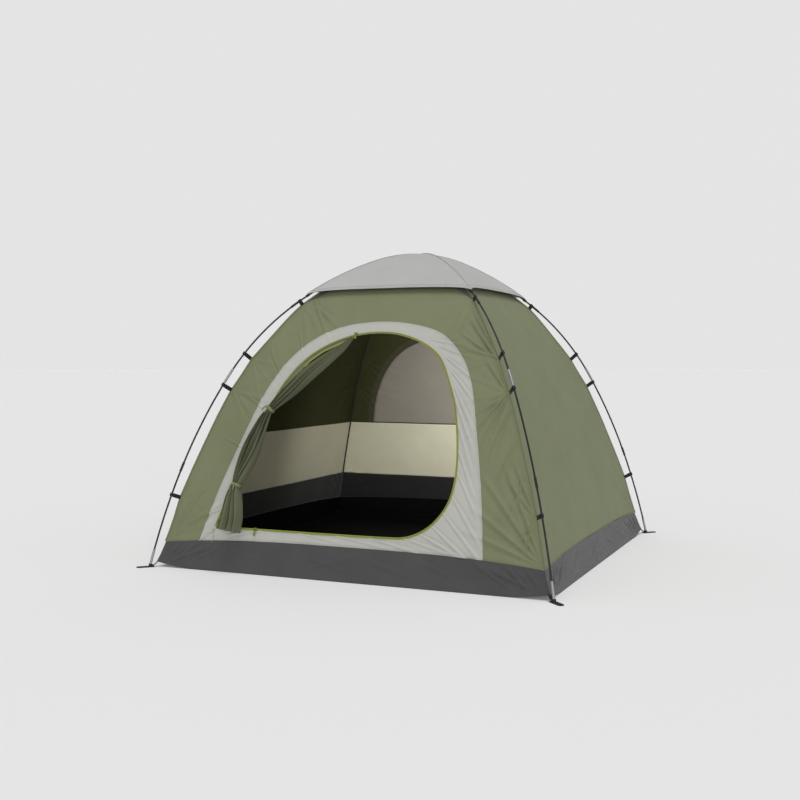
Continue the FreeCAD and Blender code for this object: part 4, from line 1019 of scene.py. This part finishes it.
# ------------------------------------------------------------------ the gathered door
ROLL = [  # x, z, half width of the bundle, half depth, distance of its middle from the wall face (mm)
    (-120, 1156, 7, 7, 8), (-156, 1106, 19, 14, 16), (-208, 1056, 31, 20, 24), (-292, 976, 38, 30, 34), (-384, 878, 36, 33, 38), (-456, 810, 25, 27, 35),
    (-482, 781, 17, 23, 34), (-497, 745, 27, 28, 38), (-516, 678, 38, 34, 42), (-550, 555, 44, 36, 44), (-582, 462, 32, 30, 40),
    (-598, 410, 20, 25, 36), (-600, 374, 33, 32, 42), (-598, 318, 49, 38, 48), (-594, 256, 58, 44, 54), (-600, 196, 62, 48, 58)]


def roll_frame(n):
    R_ = np.array(ROLL, float)
    d = np.concatenate([[0], np.cumsum(np.hypot(np.diff(R_[:, 0]), np.diff(slope_len(R_[:, 1]))))])
    t = np.linspace(0, d[-1], n)
    # smooth interpolation
    def itp(col):
        y = R_[:, col]
        m = np.gradient(y, d)
        k = np.clip(np.searchsorted(d, t, side="right") - 1, 0, len(d) - 2)
        h = d[k + 1] - d[k]; u = (t - d[k]) / h
        return ((2 * u ** 3 - 3 * u ** 2 + 1) * y[k] + (u ** 3 - 2 * u ** 2 + u) * h * m[k] + (-2 * u ** 3 + 3 * u ** 2) * y[k + 1] + (u ** 3 - u ** 2) * h * m[k + 1])
    return t, [itp(c) for c in range(5)], d


def door_bundle():
    n_s, n_c = int(220 * SEG) + 20, int(360 * SEG) + 40
    t, (x, z, hw, hd, off), knots = roll_frame(n_s)
    lean = wall_lean(z)
    C = np.stack([x, -(wall_y(z) + off * np.cos(lean)), z + off * np.sin(lean)], 1)
    T = np.gradient(C, axis=0); T /= np.linalg.norm(T, axis=1)[:, None]
    Nrm = np.stack([0 * z, -np.cos(lean), np.sin(lean)], 1)
    Nrm -= T * (Nrm * T).sum(1)[:, None]; Nrm /= np.linalg.norm(Nrm, axis=1)[:, None]
    Lat = np.cross(T, Nrm)                 # across the bundle, in the wall's plane
    run = np.linspace(0, 1, n_c)
    # the cloth goes across in front and comes back behind, pleated the same way in both layers
    l = np.where(run < 0.5, -1 + 4 * run, 3 - 4 * run)
    layer = np.tanh((0.5 - run) / 0.035)
    c = (l + 1) / 2
    folds = 4.0
    g = Noise(77)
    V = np.zeros((n_s, n_c, 3))
    for i in range(n_s):
        s = t[i] / t[-1]
        ph = 2 * np.pi * folds * (c + 0.018 * np.sin(2 * np.pi * (c * 2.3 + 0.7 * s)) + 0.03 * np.sin(2 * np.pi * (c * 1.1 - 1.1 * s + 0.3)))
        env = np.sqrt(np.clip(1 - l ** 2 * 0.72, 0, 1))
        gap = math.sin(math.pi * np.clip((s - 0.50) / 0.30, 0, 1)) ** 2      # the deep fold between the two ties
        amp = 1.0 + 0.22 * np.sin(2 * np.pi * (1.7 * c + 1.3 * s)) + 0.10 * g(c * 6, c * 0 + s * 9, 1.0)
        depth = hd[i] * env * amp * (np.sin(ph) + 0.16 * np.sin(2 * ph + 1.2)) * 0.86 + 0.24 * hd[i] * layer
        lat = hw[i] * l * (1 - 0.04 * (1 - layer)) + 0.10 * hw[i] * np.cos(ph) + 1.4 * g(c * 5 + 3, c * 0 + s * 12, 1.0)
        # the bundle turns a little about itself on its way down
        tw = 0.25 * math.sin(2 * math.pi * (s * 1.3 + 0.1))
        dd, ll = depth * math.cos(tw) - lat * math.sin(tw), depth * math.sin(tw) + lat * math.cos(tw)
        mid = gap * np.exp(-((c - 0.5) / 0.075) ** 2)
        dd = dd - 1.25 * hd[i] * mid
        ll = ll + hw[i] * 0.34 * gap * np.tanh((c - 0.5) / 0.06) * np.exp(-((c - 0.5) / 0.3) ** 2)
        dd = np.where(c > 0.6, np.maximum(dd, -off[i] + 4.0 + 1.5 * layer), dd)
        V[i] = C[i] + Nrm[i] * dd[:, None] + Lat[i] * ll[:, None]
    ob = make("door_bundle_cloth", V.reshape(-1, 3), grid_faces(n_c, n_s), M["door"])
    return ob, C, Nrm, Lat, t, hw, hd


bundle, RC, RN, RL, Rt, Rhw, Rhd = door_bundle()
bundle = thicken(bundle, 0.7, inner=M["door"], offset=0.0)
put(bundle, "fabric_green", "door_roll")


def roll_at(x_target):
    i = int(np.argmin(np.abs(RC[:, 2] - x_target)))
    return i


ties = []
for z_t, wd in ((800.0, 18.0), (428.0, 18.0)):
    i = roll_at(z_t)
    Tn = np.cross(RL[i], RN[i]); Tn /= np.linalg.norm(Tn)
    Tn = Tn if Tn[2] < 0 else -Tn
    th = np.linspace(0, 2 * np.pi, 48, endpoint=False)
    a_, b_ = Rhw[i] + 4.0, Rhd[i] + 4.0
    rows = []
    for k, (along, grow) in enumerate(((-wd / 2, -0.6), (-wd / 4, 0.8), (0, 1.2), (wd / 4, 0.8), (wd / 2, -0.6))):
        rows.append(RC[i] + Tn * along + np.cos(th)[:, None] * RL[i] * (a_ + grow + 1.2 * np.sin(3 * th)[:, None]) + np.sin(th)[:, None] * RN[i] * (b_ + grow))
    V = np.concatenate(rows)
    tb = make("tie", V, grid_faces(len(th), 5, closed_u=True), M["green"])
    ties.append(thicken(tb, 1.4, offset=0.0))
    # knot and two short ends on the outside
    kc = RC[i] + RN[i] * (b_ + 4.0) + RL[i] * 4.0
    ties.append(tube("knot", [kc - RL[i] * 9, kc - RL[i] * 4, kc, kc + RL[i] * 4, kc + RL[i] * 9], [3.5, 6.0, 6.6, 6.0, 3.5], M["green"], n=12))
    for sg in (1, -1):
        pts = [kc + RL[i] * 5 * sg, kc + RL[i] * 9 * sg + Tn * 9 + RN[i] * 3, kc + RL[i] * 11 * sg + Tn * 20 + RN[i] * 2, kc + RL[i] * 10 * sg + Tn * 30]
        ties.append(tube("end", resample(np.array(pts), 4.0), 4.4, M["green"], n=8, flat=0.25, up=RN[i]))
put(join("door_tie_bands", ties), "fabric_green", "door_ties")


# the part of the door that still hangs open between the arch and the bundle, with its lime zip edge
def door_web():
    n_s, n_c = int(110 * SEG) + 10, int(36 * SEG) + 6
    degs = np.linspace(-14.6, -37.5, 40)
    arc = np.array([arch_pt(d, AR_ - 2.0) for d in degs] + [(-336, 1065), (-376, 1028), (-414, 983), (-452, 923), (-478, 866), (-494, 826)])
    arc = resample(arc, 4.0)
    tt = np.linspace(0, 1, n_s)
    d = np.concatenate([[0], np.cumsum(np.hypot(*np.diff(arc, axis=0).T))]); d /= d[-1]
    ax, az = np.interp(tt, d, arc[:, 0]), np.interp(tt, d, arc[:, 1])
    low = np.array([(-112, 1170), (-190, 1128), (-262, 1088), (-330, 1040), (-392, 968), (-440, 896), (-488, 822)], float)
    dl = np.concatenate([[0], np.cumsum(np.hypot(*np.diff(low, axis=0).T))]); dl /= dl[-1]
    lx, lz = np.interp(tt, dl, low[:, 0]), np.interp(tt, dl, low[:, 1])
    V = np.zeros((n_s, n_c, 3))
    g = Noise(91)
    for j, v in enumerate(np.linspace(0, 1, n_c)):
        X, Z = ax * (1 - v) + lx * v, az * (1 - v) + lz * v
        o = -2.5 + 13.0 * v * np.sin(np.pi * np.clip(tt * 1.1, 0, 1)) + 4.0 * v * g(tt * 9, tt * 0 + v * 3, 1.0) * np.sin(np.pi * tt)
        V[:, j] = wall_point("front", X, Z, o)
    ob = make("door_web_cloth", V.reshape(-1, 3), grid_faces(n_c, n_s), M["door"])
    return thicken(ob, 0.7, offset=0.0), V


web, WV = door_web()
put(web, "fabric_green")
edge = WV[:int(len(WV) * 0.56), -1]
put(tube("door_web_zip_edge", resample(edge, 5.0), 4.4, M["lime"], n=8, flat=0.4, up=(0, -0.8, 0.6)), "zip_lime")

# zip end hanging loose
TAIL = [(-0.716, -0.9805, 0.206), (-0.719, -0.9848, 0.184), (-0.714, -0.9895, 0.163), (-0.717, -0.9945, 0.140)]
cu = bpy.data.curves.new("zip_tail_cord", "CURVE")
cu.dimensions = "3D"
sp_ = cu.splines.new("NURBS")
sp_.points.add(len(TAIL) - 1)
for p, co in zip(sp_.points, TAIL):
    p.co = (*co, 1.0)
sp_.order_u = 3
sp_.use_endpoint_u = True
cu.bevel_depth = 0.0015
cu.bevel_resolution = 4
cu.use_fill_caps = True
cu.materials.append(M["lime"])
tail = bpy.data.objects.new("zip_tail_cord", cu)
bpy.context.scene.collection.objects.link(tail)
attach(tail, TENT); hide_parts("zip_tail")

# ------------------------------------------------------------------ webbing on the clips, feet
for key, (s_mm, reach) in CLIPS.items():
    for leg, (psi, w) in LEGS.items():
        R, z, a = pole_at(w, s_mm)
        o = np.array([math.cos(a), 0, math.sin(a)]); tdir = np.array([-math.sin(a), 0, math.cos(a)])
        c = np.array([R, 0, z])
        g = Noise(int(s_mm) + int(psi))
        xs = np.linspace(-13.0, -reach + 1.6, 16)
        V = []
        for sgn in (1, -1):
            for x_ in xs:
                for zz in np.linspace(-10.3, 10.3, 9):
                    bulge = 0.25 * math.cos(zz * 1.2)
                    V.append(c + o * x_ + tdir * zz + np.array([0, sgn * (1.0 + bulge * 0.2), 0]))
        V = np.array(V)
        n9 = 9
        F = []
        half_n = len(xs) * n9
        for k in range(len(xs) - 1):
            for j in range(n9 - 1):
                q = (k * n9 + j, k * n9 + j + 1, (k + 1) * n9 + j + 1, (k + 1) * n9 + j)
                F.append(q); F.append(tuple(half_n + i_ for i_ in q[::-1]))
        rim = [j for j in range(n9)] + [k * n9 + n9 - 1 for k in range(1, len(xs))] + [(len(xs) - 1) * n9 + j for j in range(n9 - 2, -1, -1)] + \
              [k * n9 for k in range(len(xs) - 2, 0, -1)]
        for a_, b_ in zip(rim, rim[1:] + rim[:1]):
            F.append((a_, b_, half_n + b_, half_n + a_))
        V = rot_z(V, psi)
        name = "clip_%s_%s" % (key, leg)
        wb = make(name + "_webbing", V, F, M["web"])
        bm = bmesh.new(); bm.from_mesh(wb.data); bmesh.ops.recalc_face_normals(bm, faces=bm.faces); bm.to_mesh(wb.data); bm.free()
        wb.data.polygons.foreach_set("use_smooth", [False] * len(wb.data.polygons))
        put(wb, "webbing_black", body=name)

straps = []
for psi in (-45.0, 45.0, 135.0, 225.0):
    pr = math.radians(psi)
    pts = []
    for u in np.linspace(0, 1, 16):
        R = 1474.0 - u * 37.0
        z = 6.2 + 22.0 * (u * u * (3 - 2 * u)) + 1.0
        pts.append((R * math.cos(pr), R * math.sin(pr), z))
    straps.append(tube("strap", pts, 10.0, M["web"], n=16, flat=0.11, up=(0, 0, 1)))
put(join("corner_strap_webbing", straps), "webbing_black", "corner_straps")

# ------------------------------------------------------------------ CAD nodes that show
paint = {}
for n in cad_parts:
    if "section" in n:
        paint[n] = "pole"
    elif n.startswith("clip_") or n in ("foot_cups", "cap_hooks"):
        paint[n] = "plastic"
    elif n in ("ferrules_silver", "pole_end_tips"):
        paint[n] = "silver"
    elif n == "ferrules_black":
        paint[n] = "black_metal"
    elif n.startswith("shock"):
        paint[n] = "elastic"
    elif "slider" in n or "_pull" in n:
        paint[n] = "slider" if n.startswith("door") else "slider_dark"
    elif n == "roof_mesh":
        paint[n] = "mesh"
for n, k in paint.items():
    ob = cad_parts[n]
    ob.data.materials.clear()
    ob.data.materials.append(M[k])

# ------------------------------------------------------------------ stage, light, camera
def stage_mesh():
    n, r = 96, 160000.0
    V = [(0, 0, 0)] + [(r * math.cos(2 * math.pi * i / n), r * math.sin(2 * math.pi * i / n), 0) for i in range(n)]
    F = [(0, 1 + i, 1 + (i + 1) % n) for i in range(n)]
    ob = make("floor", V, F, stage_m, smooth=False)
    return ob


stage_m, _nt, _bs = new_mat("studio_floor")
_bs.inputs["Base Color"].default_value = (0.84, 0.84, 0.84, 1)
_bs.inputs["Emission Color"].default_value = (1.0, 1.0, 1.0, 1)
_bs.inputs["Emission Strength"].default_value = 0.095
_bs.inputs["Roughness"].default_value = 1.0
_bs.inputs["Specular IOR Level"].default_value = 0.0
stage_mesh()
bpy.context.scene.view_settings.view_transform = "Standard"
world = bpy.data.worlds.new("studio") if bpy.context.scene.world is None else bpy.context.scene.world
bpy.context.scene.world = world
world.use_nodes = True
wn, wl = world.node_tree.nodes, world.node_tree.links
wn.clear()
w_out = wn.new("ShaderNodeOutputWorld")
w_mix = wn.new("ShaderNodeMixShader")
w_path = wn.new("ShaderNodeLightPath")
w_light, w_seen = wn.new("ShaderNodeBackground"), wn.new("ShaderNodeBackground")
w_light.inputs["Color"].default_value = (1.0, 1.0, 1.0, 1)
w_light.inputs["Strength"].default_value = 0.42
w_seen.inputs["Color"].default_value = (1.0, 1.0, 1.0, 1)
w_seen.inputs["Strength"].default_value = 0.778
wl.new(w_path.outputs["Is Camera Ray"], w_mix.inputs[0])
wl.new(w_light.outputs[0], w_mix.inputs[1])
wl.new(w_seen.outputs[0], w_mix.inputs[2])
wl.new(w_mix.outputs[0], w_out.inputs["Surface"])


def lamp(name, kind, direction, dist, target, power, size):
    l = bpy.data.lights.new(name, kind)
    if kind == "SUN":
        l.angle = math.radians(size)
    else:
        l.shape = "DISK"; l.size = size
    l.energy = power
    o = bpy.data.objects.new(name, l)
    d = Vector(direction).normalized()
    o.location = Vector(target) + d * dist
    o.rotation_euler = (-d).to_track_quat("-Z", "Y").to_euler()
    bpy.context.scene.collection.objects.link(o)
    return o


lamp("overhead", "SUN", (0.10, -0.16, 0.98), 8.0, (0, 0, 0.6), 1.15, 40.0)
lamp("fill", "SUN", (0.52, -0.83, 0.17), 7.0, (0, 0, 0.65), 0.72, 34.0)
inner = lamp("inside", "AREA", (0.06, -0.97, 0.18), 1.30, (0.12, 0.60, 0.58), 8.2, 0.45)
inner.data.spread = math.radians(105)
inner.visible_camera = False

cam_d = bpy.data.cameras.new("camera")
cam_d.lens = 49.30
cam_d.sensor_width = 36.0
cam_d.clip_end = 200.0
cam = bpy.data.objects.new("camera", cam_d)
bpy.context.scene.collection.objects.link(cam)
cam.location = (2.2883, -5.6220, 1.0403)
az, el = math.radians(23.219), math.radians(2.019)
fwd = Vector((-math.sin(az) * math.cos(el), math.cos(az) * math.cos(el), -math.sin(el)))
cam.rotation_euler = fwd.to_track_quat("-Z", "Y").to_euler()
bpy.context.scene.camera = cam

def declare(name):
    """reads the face areas of the named mesh; nothing is done with them"""
    ob = bpy.data.objects[name]
    a = np.zeros(len(ob.data.polygons)); ob.data.polygons.foreach_get("area", a)


declare("wall_front_cloth")
declare("wall_right_cloth")
declare("wall_left_cloth")
declare("wall_back_cloth")
declare("door_surround_cloth")
declare("window_border_cloth")
declare("window_panel_cloth")
declare("inner_band_dark_cloth")
declare("inner_band_pale_cloth")
declare("tub_floor_cloth")
declare("roof_cap_cloth")
declare("door_bundle_cloth")
declare("door_web_cloth")
